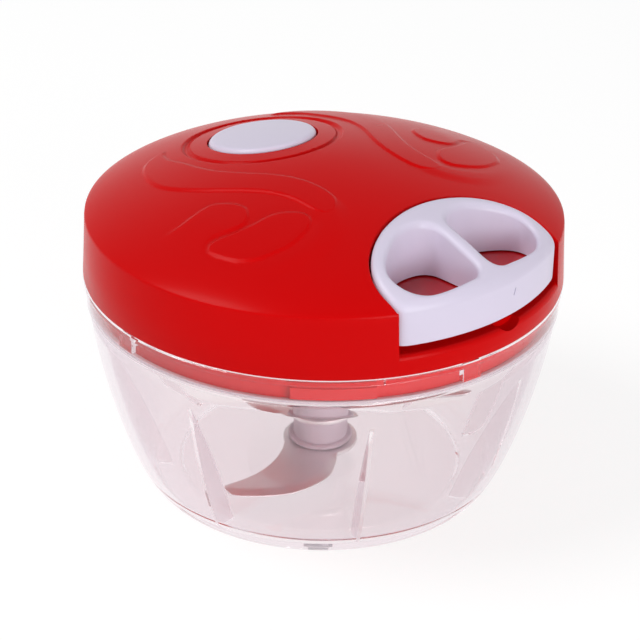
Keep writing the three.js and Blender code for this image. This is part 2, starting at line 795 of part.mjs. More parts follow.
// A blade seen from above points along +X: a hub ring with one swept arm, its tip folded up
function blade() {
  const at = ([along, across]) => new THREE.Vector2(along * bladeReach, across * bladeReach);
  const shape = new THREE.Shape();
  const lead = bladeLeadShares.map(at);
  const trail = bladeTrailShares.map(at);
  shape.moveTo(trail.at(-1).x, trail.at(-1).y);
  shape.lineTo(lead[0].x, lead[0].y);
  shape.splineThru(lead.slice(1));
  shape.splineThru(bladeTipShares.map(at));
  shape.splineThru(trail);
  shape.closePath();
  const half = bladeThickness / 2;
  const arm = plate(shape, -half, half, 3);
  const hub = rod(bladeHubRadius, -half, half);
  const hole = rod(shaftRadius + clearance, -bladeThickness, bladeThickness);
  const flat = cut(joined(hub, arm), hole);
  const fold = bladeFoldShare * bladeReach;
  const halves = [[-bladeReach, fold], [fold, bladeReach + overrun]].map(([from, to]) => (
    flat.intersect(block(from, to, -bladeReach, bladeReach, -bladeThickness, bladeThickness))
  ));
  const lifted = geometryOf(halves[1]).translate(-fold, 0, half).rotateY(-bladeFoldAngle * degree)
    .translate(fold - Math.sin(bladeFoldAngle * degree) * half, 0, -half);
  return joined(halves[0], solid(lifted));
}

function pullHandle() {
  const reach = handleReach + overrun;
  const highest = crownBase + crownHeight + overrun;
  const outline = plate(handlePlan(0, reach), handleBottom, highest, 16);
  const body = outline.intersect(crownLevel(handleProud, handleReach));
  const underside = rod(frontWallInner, handleBottom - overrun, raisedFloor + floorGap, wideSides);
  const hole = fingerHole();
  const knotRoom = rod(knotRadius + clearance, handleBottom - overrun, cordHeight + knotRadius + clearance,
    smallSides, handleInner + knotInset);
  const cordHole = rodAlongX(cordRadius + clearance, handleInner - overrun, handleInner + knotInset, 0,
    cordHeight);
  return cut(body, underside, hole(1), hole(-1), knotRoom, cordHole);
}

// A finger hole: the handle's outline moved in, split by the web, with round corners
function fingerHole() {
  const inner = handleInner + handleInnerWall;
  const side = handleHalfWidth - handleSideWall;
  const web = handleWeb / 2;
  const outerX = Math.sqrt(frontWallInner ** 2 - side ** 2);
  const nearX = Math.sqrt(frontWallInner ** 2 - web ** 2);
  const shoulder = inner + holeShoulderShare * (outerX - inner);
  const bend = inner + holeBendShare * (shoulder - inner);
  return (mirror) => {
    const shape = new THREE.Shape();
    shape.moveTo(inner + holeCorner, mirror * web);
    shape.lineTo(nearX - holeCorner, mirror * web);
    shape.quadraticCurveTo(nearX, mirror * web, nearX - web / 2, mirror * (web + holeCorner));
    shape.quadraticCurveTo(nearX - web / 2, mirror * (side - 2 * holeCorner), outerX + holeCorner / 2,
      mirror * (side - holeCorner));
    shape.quadraticCurveTo(outerX, mirror * side, shoulder, mirror * side);
    shape.quadraticCurveTo(bend, mirror * side, inner, mirror * (web + 2 * holeCorner));
    shape.quadraticCurveTo(inner - web / 2, mirror * web, inner + holeCorner, mirror * web);
    shape.closePath();
    return plate(shape, handleBottom - overrun, crownBase + crownHeight + overrun, 6);
  };
}

function pressButton() {
  const bx = -buttonOffset;
  const highest = crownBase + crownHeight + overrun;
  const top = crownHeightAt(buttonOffset) + buttonProud;
  const cap = cut(
    rod(buttonRadius, crownBase, highest, plainSides, bx).intersect(crownLevel(buttonProud)),
    crownLevel(buttonProud - buttonDepth),
    rod(buttonRadius - buttonWall, lidBottom, highest, plainSides, bx)
      .intersect(crownLevel(buttonProud - buttonWall)),
  );
  const guideTop = top - buttonDepth - guideDrop + clearance;
  const clipTop = guideTop - guideLength - runningGap;
  const grooveTop = clipTop + clearance;
  const grooveBottom = clipTop - clipThickness - clearance;
  const post = joined(
    rod(postRadius, grooveBottom - postTip, grooveBottom, smallSides, bx),
    rod(postRadius - postGroove, grooveBottom - clearance, grooveTop + clearance, smallSides, bx),
    rod(postRadius, grooveTop, top - buttonWall / 2, smallSides, bx),
  );
  const finger = rod(fingerRadius, drumTop + buttonTravel + clearance,
    crownHeightAt(buttonOffset - buttonRadius + fingerInset) + buttonProud - buttonWall / 2,
    smallSides, bx + buttonRadius - fingerInset);
  return joined(cap, post, finger);
}

function buttonClip() {
  const top = crownHeightAt(buttonOffset) + buttonProud - buttonDepth - guideDrop + clearance
    - guideLength - runningGap;
  const inner = postRadius - postGroove + clearance;
  return ring(inner, inner + clipWidth, top - clipThickness, top, smallSides);
}

function buttonSpring() {
  const stepsPerTurn = 8;
  const steps = Math.round(buttonSpringTurns * stepsPerTurn);
  const wire = buttonSpringWire / 2;
  const radius = postRadius + buttonSpringGap + wire;
  const cap = crownHeightAt(buttonOffset) + buttonProud;
  const bottom = cap - buttonDepth - guideDrop + 2 * clearance + wire;
  const top = crownHeightAt(buttonOffset + radius) + buttonProud - buttonWall - clearance - wire;
  const points = Array.from({ length: steps + 1 }, (_, i) => {
    const angle = (2 * Math.PI * i) / stepsPerTurn;
    return new THREE.Vector3(
      radius * Math.cos(angle), radius * Math.sin(angle), bottom + (top - bottom) * (i / steps));
  });
  console.log('button spring, least gap between turns', selfGap(points, wire, stepsPerTurn).toFixed(2));
  const up = new THREE.Vector3(0, 0, 1);
  return sweep(points, circleSection(wire, 5), (i) => [
    new THREE.Vector3(points[i].x, points[i].y, 0).normalize(), up,
  ]);
}

// Finishes
const finish = (color, roughness, extra = {}) =>
  new THREE.MeshStandardMaterial({ color, roughness, metalness: 0, ...extra });
const clearPlastic = finish(0xe8eef2, 0.08, { transparent: true, opacity: 0.35 });
const redPlastic = finish(0xc81010, 0.3);
const whitePlastic = finish(0xded8e8, 0.4);
const steel = finish(0xb4b4b8, 0.25, { metalness: 1 });
const silicone = finish(0xe6e4e8, 0.6);
const frosted = finish(0xcfc8d2, 0.45);
const cordFibre = finish(0xe9e6e0, 0.8);
const greyPlastic = finish(0x8c8f94, 0.5);

const chopper = new THREE.Group();

function add(name, body, material, x = 0, y = 0, z = 0, turn = 0) {
  const mesh = new THREE.Mesh(geometryOf(body), material);
  mesh.name = name;
  mesh.position.set(x, y, z);
  mesh.rotation.z = turn * degree;
  chopper.add(mesh);
}

add('bowl', bowl(), clearPlastic);
add('pivot_pin', pivotPin(), steel);
add('seal_ring', sealRing(), silicone);
add('top_cover', topCover(), redPlastic);
add('base_cover', baseCover(), redPlastic);
add('shaft_seal', shaftSeal(), silicone);
add('drum_axle', drumAxle(), steel);
add('cord_guide', cordGuide(), steel);
screwAngles.forEach((angle, i) => {
  const [x, y] = onCircle(screwCircle, angle);
  const body = screw(screwRadius, screwLength, screwHeadRadius, screwHeadHeight);
  add(`cover_screw_${i + 1}`, body, steel, x, y, plateBottom - clearance - screwHeadHeight);
});
add('thrust_washer', thrustWasher(), greyPlastic);
add('drum', drum(), whitePlastic);
add('cord_winding', cordWinding(), cordFibre);
add('recoil_spring', recoilSpring(), steel);
add('drive_socket', driveSocket(), whitePlastic);
const drumScrew = screw(drumScrewRadius, drumScrewLength, drumScrewHeadRadius, drumScrewHeadHeight);
add('drum_screw', drumScrew, steel, 0, 0, drumScrewHeadTop - drumScrewHeadHeight);
add('pull_handle', pullHandle(), whitePlastic);
add('pull_cord', pullCord(), cordFibre);
add('cord_knot', cordKnot(), cordFibre);
add('press_button', pressButton(), whitePlastic);
add('button_spring', buttonSpring(), steel, -buttonOffset);
add('button_clip', buttonClip(), steel, -buttonOffset);
add('blade_shaft', bladeShaft(), frosted);
bladeHeights.forEach((height, i) => {
  const name = ['lower', 'middle', 'upper'][i];
  add(`${name}_blade`, blade(), steel, 0, 0, height, bladeAngles[i]);
});

export default chopper;
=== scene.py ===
# %% [markdown]
# # A pull-cord food chopper
# A clear bowl stands on a foot ring, and a domed red lid locks onto it with a quarter-turn
# bayonet. A pale handle with two finger holes sits in the lid's edge and pulls a cord, and the
# cord turns three curved blades. The CAD model gives every size and every joint. This script
# dresses it: fine surfaces, soft edges, materials, light and a camera.

# %% Load the frame
import math

import bmesh
import bpy
import numpy as np
from mathutils import Matrix, Vector
from mathutils.geometry import delaunay_2d_cdt


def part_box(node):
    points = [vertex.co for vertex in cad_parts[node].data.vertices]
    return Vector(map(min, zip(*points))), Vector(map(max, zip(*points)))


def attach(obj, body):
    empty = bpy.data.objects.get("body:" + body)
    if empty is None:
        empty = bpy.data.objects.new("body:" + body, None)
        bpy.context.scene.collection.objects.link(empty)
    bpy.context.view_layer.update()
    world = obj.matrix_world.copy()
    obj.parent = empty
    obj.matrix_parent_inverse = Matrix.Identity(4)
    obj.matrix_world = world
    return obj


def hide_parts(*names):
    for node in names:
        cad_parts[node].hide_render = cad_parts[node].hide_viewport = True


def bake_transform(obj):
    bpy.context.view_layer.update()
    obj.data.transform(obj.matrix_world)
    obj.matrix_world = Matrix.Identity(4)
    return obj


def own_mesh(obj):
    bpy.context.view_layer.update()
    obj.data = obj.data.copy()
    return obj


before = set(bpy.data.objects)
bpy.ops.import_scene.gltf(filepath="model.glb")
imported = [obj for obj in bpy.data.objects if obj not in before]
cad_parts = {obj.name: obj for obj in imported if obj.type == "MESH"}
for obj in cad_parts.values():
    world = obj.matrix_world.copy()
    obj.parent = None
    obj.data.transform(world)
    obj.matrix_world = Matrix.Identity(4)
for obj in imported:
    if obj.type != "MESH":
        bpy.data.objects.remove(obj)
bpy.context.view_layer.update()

# %% [markdown]
# ## Sizes
# All lengths are in millimetres, as on a drawing, and become metres when a mesh is made. The
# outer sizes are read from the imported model, so the dressed pieces stay on the same frame. The
# rest are the thicknesses and curve shapes that the box of a node can't tell.

# %% Sizes shared by several pieces
MM = 0.001
FULL_TURN = 2 * math.pi


def box_mm(node):
    low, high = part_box(node)
    return np.array(low) / MM, np.array(high) / MM


BOWL_LOW, BOWL_HIGH = box_mm("bowl")
LID_LOW, LID_HIGH = box_mm("top_cover")
CLEARANCE = 0.3
RUN_GAP = 0.5
WALL = 2.0
BOWL_WALL = 2.2
FLOOR_THICKNESS = 3.0
BOWL_HEIGHT = BOWL_HIGH[2]
RIM = BOWL_HIGH[0]
COLLAR = RIM - 0.7
COLLAR_INSIDE = COLLAR - 1.9
SHOULDER = COLLAR - 0.5
BASE = 45.8
SEAT = BOWL_HEIGHT - 7.6
LID_BOTTOM = LID_LOW[2]
SKIRT_HEIGHT = 16.6
SKIRT_DRAFT = 0.9
CROWN_BASE = LID_BOTTOM + SKIRT_HEIGHT
CROWN_HEIGHT = LID_HIGH[2] - CROWN_BASE
CROWN = RIM - SKIRT_DRAFT
PLATE_BOTTOM = LID_BOTTOM + 0.4
PLATE_TOP = PLATE_BOTTOM + 1.8
BUTTON_X = sum(box_mm("press_button"))[0] / 2
print("bowl", BOWL_LOW.round(2), BOWL_HIGH.round(2), "button at x", round(BUTTON_X, 2))

# %% [markdown]
# ## Tools for solids
# Most pieces of a moulded object are turned profiles, straight prisms and plates with soft
# edges, joined and cut by booleans. Small functions for these keep every later step short. The
# Manifold solver is used for the booleans because it is fast and keeps a closed mesh closed,
# which clear plastic needs: light must enter and leave each wall exactly once.

# %% Mesh objects from points in millimetres, and turned solids
def link(name, mesh):
    piece = bpy.data.objects.new(name, mesh)
    bpy.context.scene.collection.objects.link(piece)
    return piece


def make(name, points, faces):
    mesh = bpy.data.meshes.new(name)
    mesh.from_pydata((np.asarray(points, float) * MM).tolist(), [], faces)
    outward = bmesh.new()
    outward.from_mesh(mesh)
    bmesh.ops.recalc_face_normals(outward, faces=outward.faces)
    outward.to_mesh(mesh)
    outward.free()
    return link(name, mesh)


def all_round(sides):
    return np.arange(sides) * FULL_TURN / sides


def polar(radius, angles):
    """One row of x and y for each angle. The radius is one number or one for each angle."""
    return np.column_stack([radius * np.cos(angles), radius * np.sin(angles)])


def lathe(name, profile, sides=192):
    """A closed profile of (radius, height) turned round Z. Radius 0 becomes a single point."""
    points, rows = [], []
    for radius, height in profile:
        if radius == 0:
            rows.append([len(points)] * sides)
            points.append((0, 0, height))
        else:
            rows.append(list(range(len(points), len(points) + sides)))
            points += [(x, y, height) for x, y in polar(radius, all_round(sides))]
    faces = []
    for i, row in enumerate(rows):
        after = rows[(i + 1) % len(rows)]
        for k in range(sides):
            corners = [row[k], row[(k + 1) % sides], after[(k + 1) % sides], after[k]]
            face = list(dict.fromkeys(corners))
            if len(face) > 2:
                faces.append(face)
    return make(name, points, faces)


# %% Straight solids
def prism(name, outline, low, high):
    count = len(outline)
    points = [(x, y, low) for x, y in outline] + [(x, y, high) for x, y in outline]
    walls = [[k, (k + 1) % count, count + (k + 1) % count, count + k] for k in range(count)]
    return make(name, points, [list(range(count)), list(range(count, 2 * count))] + walls)


def circle(radius, sides, x=0.0, y=0.0):
    return polar(radius, all_round(sides)) + (x, y)


def rod(radius, low, high, sides=64, x=0.0, y=0.0):
    return prism("rod", circle(radius, sides, x, y), low, high)


def ring(inner, outer, low, high, sides=128):
    return lathe("ring", [(inner, low), (outer, low), (outer, high), (inner, high)], sides)


def sector(inner, outer, start, end, low, high):
    angles = np.radians(np.linspace(start, end, 16))
    return prism("sector", [*polar(outer, angles), *polar(inner, angles[::-1])], low, high)


def block(x0, x1, y0, y1, low, high):
    return prism("block", [(x0, y0), (x1, y0), (x1, y1), (x0, y1)], low, high)


def rod_along_x(radius, x0, x1, y, z, sides=48):
    piece = rod(radius, x0, x1, sides)
    turn = Matrix(((0, 0, 1), (1, 0, 0), (0, 1, 0))).to_4x4()
    piece.data.transform(Matrix.Translation((0, y * MM, z * MM)) @ turn)
    return piece


# %% Join, cut and keep what is common
def bake(piece):
    """Turns what the modifiers make into a plain mesh."""
    seen = piece.evaluated_get(bpy.context.evaluated_depsgraph_get())
    mesh = bpy.data.meshes.new_from_object(seen)
    piece.modifiers.clear()
    piece.data = mesh
    return piece


def combine(piece, others, operation):
    for other in others:
        step = piece.modifiers.new(operation, "BOOLEAN")
        step.operation = operation
        step.solver = "MANIFOLD"
        step.object = other
    bake(piece)
    for other in others:
        bpy.data.objects.remove(other)
    return piece


def joined(piece, *others):
    return combine(piece, others, "UNION")


def cut(piece, *others):
    return combine(piece, others, "DIFFERENCE")


def common(piece, *others):
    return combine(piece, others, "INTERSECT")


# %% [markdown]
# ## Finishing a piece
# A finished piece gets smooth shading with its real corners kept sharp, a material, the body that
# it rides on and the CAD node whose place it takes. Doing this in one function means that no
# piece is left behind when a joint moves.

# %% Shade, dress and attach
def soften(piece, angle=32):
    mesh = piece.data
    mesh.polygons.foreach_set("use_smooth", [True] * len(mesh.polygons))
    mesh.set_sharp_from_angle(angle=math.radians(angle))
    mesh.update()
    return piece


def dress(piece, name, body, material, nodes=()):
    piece.name = name
    piece.data.name = name
    piece.data.materials.clear()
    piece.data.materials.append(material)
    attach(piece, body)
    if nodes:
        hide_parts(*nodes)
    piece.data.calc_loop_triangles()
    print(name, "triangles", len(piece.data.loop_triangles))
    return piece


# %% [markdown]
# ## Plates with soft edges
# The handle, the button and the blades are all plates: an outline seen from above, perhaps with
# holes, between an upper and a lower surface. A Delaunay net fills the outline with even
# triangles. Extra loops close to the edge carry the rounding, so that a highlight can run along
# every rim, as it does on moulded plastic.

# %% Outlines and distances
def even_steps(line, spacing, closed):
    """Points at even steps along a line, which goes back to its start if it is closed."""
    line = np.vstack([line, line[:1]]) if closed else line
    lengths = np.concatenate([[0], np.cumsum(np.linalg.norm(np.diff(line, axis=0), axis=1))])
    count = max(int(lengths[-1] / spacing), 8)
    stops = np.linspace(0, lengths[-1], count, endpoint=not closed)
    return np.column_stack([np.interp(stops, lengths, line[:, k]) for k in (0, 1)])


def even_loop(points, spacing, passes=0):
    """A closed line with even steps. Each pass pulls corners in a little, which rounds them."""
    loop = even_steps(points, spacing, True)
    for _ in range(passes):
        loop = (np.roll(loop, 1, axis=0) + 2 * loop + np.roll(loop, -1, axis=0)) / 4
    return loop


def spline(points, steps=10):
    """A smooth line through all points."""
    p = np.asarray(points, float)
    p = np.vstack([2 * p[0] - p[1], p, 2 * p[-1] - p[-2]])
    t = np.linspace(0, 1, steps, endpoint=False)[:, None]
    parts = [
        0.5 * (2 * b + (c - a) * t + (2 * a - 5 * b + 4 * c - d) * t**2
               + (3 * b - a - 3 * c + d) * t**3)
        for a, b, c, d in zip(p[:-3], p[1:-2], p[2:-1], p[3:])
    ]
    return np.vstack([*parts, p[-2:-1]])


def curve(start, *bends):
    """Straight and bent pieces: a point adds a straight line, and a pair (pull, end) a bend."""
    points = [np.array(start, float)]
    for bend in bends:
        if np.ndim(bend) == 1:
            points.append(np.array(bend, float))
            continue
        pull, end = np.array(bend, float)
        t = np.linspace(0, 1, 13)[1:, None]
        points += list((1 - t) ** 2 * points[-1] + 2 * t * (1 - t) * pull + t**2 * end)
    return np.array(points)


# %% Directions and distances
def left_of(along):
    """For each direction in the plane, the unit vector square to it, on its left."""
    along = along / np.linalg.norm(along, axis=1)[:, None]
    return np.column_stack([-along[:, 1], along[:, 0]])


def distance(points, line, closed=True):
    """Distance of each point to a line, in the plane."""
    ends = np.roll(line, -1, axis=0) if closed else line[1:]
    starts = line if closed else line[:-1]
    along = ends - starts
    best = np.full(len(points), np.inf)
    for start, step in zip(starts, along):
        share = np.clip(((points - start) @ step) / max(step @ step, 1e-9), 0, 1)
        gap = points - start - share[:, None] * step
        best = np.minimum(best, np.hypot(gap[:, 0], gap[:, 1]))
    return best


def inside(points, loop):
    x, y = points[:, 0], points[:, 1]
    odd = np.zeros(len(points), bool)
    for (x0, y0), (x1, y1) in zip(loop, np.roll(loop, -1, axis=0)):
        crosses = (y0 > y) != (y1 > y)
        odd ^= crosses & (x < (x1 - x0) * (y - y0) / (y1 - y0 if y1 != y0 else 1e-9) + x0)
    return odd


# %% Fill an outline and give it two surfaces
EDGE_SHARES = [0.0, 0.03, 0.12, 0.28, 0.5, 0.75, 1.0]


def inward(loop, amount):
    x, y = loop[:, 0], loop[:, 1]
    area = np.sum(x * np.roll(y, -1) - np.roll(x, -1) * y)
    side = 1 if area > 0 else -1
    return loop + side * amount * left_of(np.roll(loop, -1, axis=0) - np.roll(loop, 1, axis=0))


def net(outer, holes, edge, spacing):
    """Points and triangles inside the outer loop and outside the holes."""
    rows = []
    for share in EDGE_SHARES:
        rows += [inward(outer, share * edge)] + [inward(hole, -share * edge) for hole in holes]
    low, high = outer.min(axis=0), outer.max(axis=0)
    rise = spacing * math.sqrt(3) / 2
    grid = np.array([(x + (i % 2) * spacing / 2, y)
                     for i, y in enumerate(np.arange(low[1], high[1], rise))
                     for x in np.arange(low[0], high[0], spacing)])
    keep = inside(grid, outer) & (distance(grid, outer) > edge + spacing / 2)
    for hole in holes:
        keep &= ~inside(grid, hole) & (distance(grid, hole) > edge + spacing / 2)
    points, lines = [], []
    for row in rows:
        first = len(points)
        points += [Vector(p) for p in row]
        lines += [(first + k, first + (k + 1) % len(row)) for k in range(len(row))]
    points += [Vector(p) for p in grid[keep]]
    verts, _, faces, *_ = delaunay_2d_cdt(points, lines, [], 0, 1e-6)
    plan = np.array([(v[0], v[1]) for v in verts])
    middles = np.array([plan[list(face)].mean(axis=0) for face in faces])
    wanted = inside(middles, outer)
    for hole in holes:
        wanted &= ~inside(middles, hole)
    return plan, [face for face, good in zip(faces, wanted) if good]


# %% Plate between two surfaces
def fillet(gap, radius):
    """How far a rounded edge lies below the surface, at a distance from the outline."""
    short = np.clip(radius - gap, 0, radius)
    return radius - np.sqrt(np.maximum(radius**2 - short**2, 0))


def plate(name, outer, holes, top, bottom, edge, spacing, under=0.4):
    """A plate between two surfaces, each a function of the plan points and the edge distance."""
    plan, faces = net(outer, holes, edge, spacing)
    gap = distance(plan, outer)
    for hole in holes:
        gap = np.minimum(gap, distance(plan, hole))
    gap[gap < 1e-4] = 0
    upper = top(plan) - fillet(gap, edge)
    lower = bottom(plan) + fillet(gap, under)
    count = len(plan)
    points = np.vstack([np.column_stack([plan, upper]), np.column_stack([plan, lower])])
    sides = {}
    for face in faces:
        for a, b in zip(face, (*face[1:], face[0])):
            sides[(a, b)] = None
    walls = [[b, a, a + count, b + count] for a, b in sides if (b, a) not in sides]
    under_faces = [[v + count for v in reversed(face)] for face in faces]
    return make(name, points, [list(face) for face in faces] + under_faces + walls)


# %% [markdown]
# ## Shader groups
# Two effects are shared by many materials, so each is a node group. Moulded surfaces are never
# perfectly even: their gloss drifts slowly and the skin has a very fine grain. Steel that was
# rolled and polished shows fine lines in one direction. Both groups only give varying values, and
# each material sets its own plain values directly.

# %% Short ways to add and connect nodes
def node(tree, kind, **plain):
    """A new node, with plain values in the sockets of the same names."""
    made = tree.nodes.new(kind)
    for label, value in plain.items():
        made.inputs[label].default_value = value
    return made


def connect(tree, *pairs):
    for start, end in pairs:
        tree.links.new(start, end)


def calculate(tree, operation, *values):
    """A Math node. A number fills its socket, and another node's output is linked to it."""
    made = tree.nodes.new("ShaderNodeMath")
    made.operation = operation
    for socket, value in zip(made.inputs, values):
        if isinstance(value, float):
            socket.default_value = value
        else:
            tree.links.new(value, socket)
    return made.outputs[0]


def choose(tree, share, first, second):
    """A Mix Shader shows the first shader where the share is 0 and the second where it is 1."""
    mix = tree.nodes.new("ShaderNodeMixShader")
    connect(tree, (share, mix.inputs[0]), (first.outputs[0], mix.inputs[1]),
            (second.outputs[0], mix.inputs[2]))
    return mix.outputs[0]


def any_of(tree, first, *others):
    """1 where any of the values is 1, which chooses among kinds of rays."""
    for other in others:
        first = calculate(tree, "MAXIMUM", first, other)
    return first


# %% Group: uneven gloss and fine grain
def group(name, inputs, outputs):
    tree = bpy.data.node_groups.new(name, "ShaderNodeTree")
    for label, default in inputs:
        socket = tree.interface.new_socket(label, in_out="INPUT", socket_type="NodeSocketFloat")
        socket.default_value = default
    for label in outputs:
        tree.interface.new_socket(label, in_out="OUTPUT", socket_type="NodeSocketFloat")
    return tree, tree.nodes.new("NodeGroupInput").outputs, tree.nodes.new("NodeGroupOutput").inputs


skin, into, out = group(
    "Moulded skin",
    [("Gloss", 0.3), ("Spread", 0.06), ("Patch Scale", 40.0), ("Grain Scale", 1800.0)],
    ["Roughness", "Grain"])
place = skin.nodes.new("ShaderNodeTexCoord").outputs["Object"]
patches = node(skin, "ShaderNodeTexNoise", Detail=3.0)
grain = node(skin, "ShaderNodeTexNoise", Detail=1.0)
around = calculate(skin, "SUBTRACT", patches.outputs["Fac"], 0.5)
drift = calculate(skin, "MULTIPLY_ADD", around, into["Spread"], into["Gloss"])
connect(skin, (place, patches.inputs["Vector"]), (place, grain.inputs["Vector"]),
        (into["Patch Scale"], patches.inputs["Scale"]), (into["Grain Scale"], grain.inputs["Scale"]),
        (drift, out["Roughness"]), (grain.outputs["Fac"], out["Grain"]))

# %% Group: brushed steel
brushed, into, out = group(
    "Brushed steel",
    [("Gloss", 0.2), ("Spread", 0.1), ("Line Scale", 900.0), ("Stretch", 0.05)],
    ["Roughness", "Lines"])
place = brushed.nodes.new("ShaderNodeTexCoord").outputs["Object"]
squeeze = brushed.nodes.new("ShaderNodeMapping")
lines = node(brushed, "ShaderNodeTexNoise", Detail=2.0)
scale = node(brushed, "ShaderNodeCombineXYZ", Y=1.0, Z=1.0)
drift = calculate(brushed, "MULTIPLY_ADD", lines.outputs["Fac"], into["Spread"], into["Gloss"])
connect(brushed, (into["Stretch"], scale.inputs["X"]), (scale.outputs[0], squeeze.inputs["Scale"]),
        (place, squeeze.inputs["Vector"]), (squeeze.outputs[0], lines.inputs["Vector"]),
        (into["Line Scale"], lines.inputs["Scale"]), (drift, out["Roughness"]),
        (lines.outputs["Fac"], out["Lines"]))
print("shader groups", skin.name, brushed.name)

# %% [markdown]
# ## Materials
# Red gloss plastic, a pale lilac-white plastic, a frosted one, clear plastic, steel, silicone and
# braided cord. Each starts from the Principled shader. The shared group drives roughness and a
# bump of a few hundredths of a millimetre, and the colour and the other sockets are given one by one.

# %% Functions for colours and materials
BUMP_DEPTH = 0.02


def linear(red, green, blue):
    """Colour picked on screen, 0 to 255, as the linear values that a shader needs."""
    shares = np.array([red, green, blue]) / 255
    low, high = shares / 12.92, ((shares + 0.055) / 1.055) ** 2.4
    return (*np.where(shares <= 0.04045, low, high).tolist(), 1.0)


def material(name, effect, height_output, bump, sockets, **settings):
    made = bpy.data.materials.new(name)
    made.use_nodes = True
    tree = made.node_tree
    shader = tree.nodes["Principled BSDF"]
    surface = tree.nodes.new("ShaderNodeGroup")
    surface.node_tree = effect
    for label, value in settings.items():
        surface.inputs[label.replace("_", " ").title()].default_value = value
    relief = node(tree, "ShaderNodeBump", Strength=bump, Distance=BUMP_DEPTH * MM)
    connect(tree, (surface.outputs["Roughness"], shader.inputs["Roughness"]),
            (surface.outputs[height_output], relief.inputs["Height"]),
            (relief.outputs[0], shader.inputs["Normal"]))
    for label, value in sockets.items():
        shader.inputs[label].default_value = value
    return made


def plastic(name, colour, gloss, bump=0.25, **sockets):
    named = {label.replace("_", " "): value for label, value in sockets.items()}
    return material(name, skin, "Grain", bump, {"Base Color": colour, "IOR": 1.5, **named}, gloss=gloss)


def metal(name, colour, gloss, bump=0.3, **settings):
    return material(name, brushed, "Lines", bump, {"Base Color": colour, "Metallic": 1.0},
                    gloss=gloss, **settings)


# %% Build the materials
RED = plastic("red plastic", linear(206, 5, 7), 0.26, Specular_IOR_Level=0.05)
# A darker, glossier copy of the lid's red for the recess floor: the darker colour is painted shade.
RED_WITH_PAINTED_SHADE = plastic("red plastic of the recess", linear(178, 12, 18), 0.2, Specular_IOR_Level=0.8)
# A lighter copy of the lid's red for the base cover: painted light, for its skirt in shade behind the
# bowl's collar.
RED_WITH_PAINTED_LIGHT = plastic("red plastic of the skirt", linear(236, 24, 32), 0.3)
PALE = plastic("pale plastic", linear(220, 212, 232), 0.36, Specular_IOR_Level=0.35)
GREY = plastic("grey plastic", linear(120, 122, 126), 0.5)
SILICONE = plastic("silicone", linear(226, 214, 220), 0.55)
FROSTED = plastic("frosted plastic", linear(238, 226, 236), 0.4, Transmission_Weight=0.3)
CORD = plastic("cord fibre", linear(228, 224, 216), 0.8, bump=0.8)
STEEL = metal("steel", linear(188, 188, 192), 0.24)
BLADE = metal("blade steel", linear(232, 228, 229), 0.4, spread=0.14, line_scale=700.0)
print("materials", [m.name for m in (RED, PALE, GREY, SILICONE, FROSTED, CORD, STEEL, BLADE)])

# %% [markdown]
# ## Clear plastic
# The bowl is clear polystyrene with a faint warm tint. Seen edge-on, light crosses more of it, so
# the Layer Weight node deepens the tint there. Glass-like refraction alone would throw a dark
# shadow, because light that bends through the wall isn't traced back to the lamps. The shadow
# rays, and rays that are trapped between the walls, therefore meet a tinted transparent shader.

# %% Material: clear plastic
CLEAR = plastic("clear plastic", linear(251, 247, 247), 0.03, bump=0.05, IOR=1.42,
                Transmission_Weight=1.0)
tree = CLEAR.node_tree
shader = tree.nodes["Principled BSDF"]
edge_on = node(tree, "ShaderNodeLayerWeight", Blend=0.35)
tint = tree.nodes.new("ShaderNodeMix")
tint.data_type = "RGBA"
sockets = {socket.identifier: socket for socket in [*tint.inputs, *tint.outputs]}
sockets["A_Color"].default_value = shader.inputs["Base Color"].default_value
sockets["B_Color"].default_value = linear(216, 200, 214)
window = node(tree, "ShaderNodeBsdfTransparent", Color=linear(253, 250, 251))
ray = tree.nodes.new("ShaderNodeLightPath").outputs
deep = calculate(tree, "GREATER_THAN", ray["Transmission Depth"], 7.0)
mirrored = calculate(tree, "GREATER_THAN", ray["Glossy Depth"], 2.0)
straight_on = any_of(tree, ray["Is Shadow Ray"], ray["Is Diffuse Ray"], deep, mirrored)
connect(tree, (edge_on.outputs["Facing"], sockets["Factor_Float"]),
        (sockets["Result_Color"], shader.inputs["Base Color"]),
        (choose(tree, straight_on, shader, window), tree.nodes["Material Output"].inputs["Surface"]))
print("clear plastic ready")

# %% [markdown]
# ## The bowl
# The bowl is a turned shell. Its side is one smooth curve from the foot to the shoulder, where a
# short upright collar begins. The inner curve is the same line moved in by the wall's thickness,
# measured square to the curve, so the wall is equally thick all the way up.

# %% Bowl: the turned shell
SHOULDER_TOP = SEAT - 0.4
WALL_SHARES = np.array([(0, 0), (0.33, 0.031), (0.907, 0.662), (1, 1)])
WALL_CURVE = (BASE, 0) + WALL_SHARES * (SHOULDER - BASE, SHOULDER_TOP)


def wall_line(offset, steps=56):
    t = np.linspace(0, 1, steps + 1)[:, None]
    p0, p1, p2, p3 = WALL_CURVE
    point = (1 - t) ** 3 * p0 + 3 * t * (1 - t) ** 2 * p1 + 3 * t**2 * (1 - t) * p2 + t**3 * p3
    along = (1 - t) ** 2 * (p1 - p0) + 2 * t * (1 - t) * (p2 - p1) + t**2 * (p3 - p2)
    return point + offset * left_of(along)


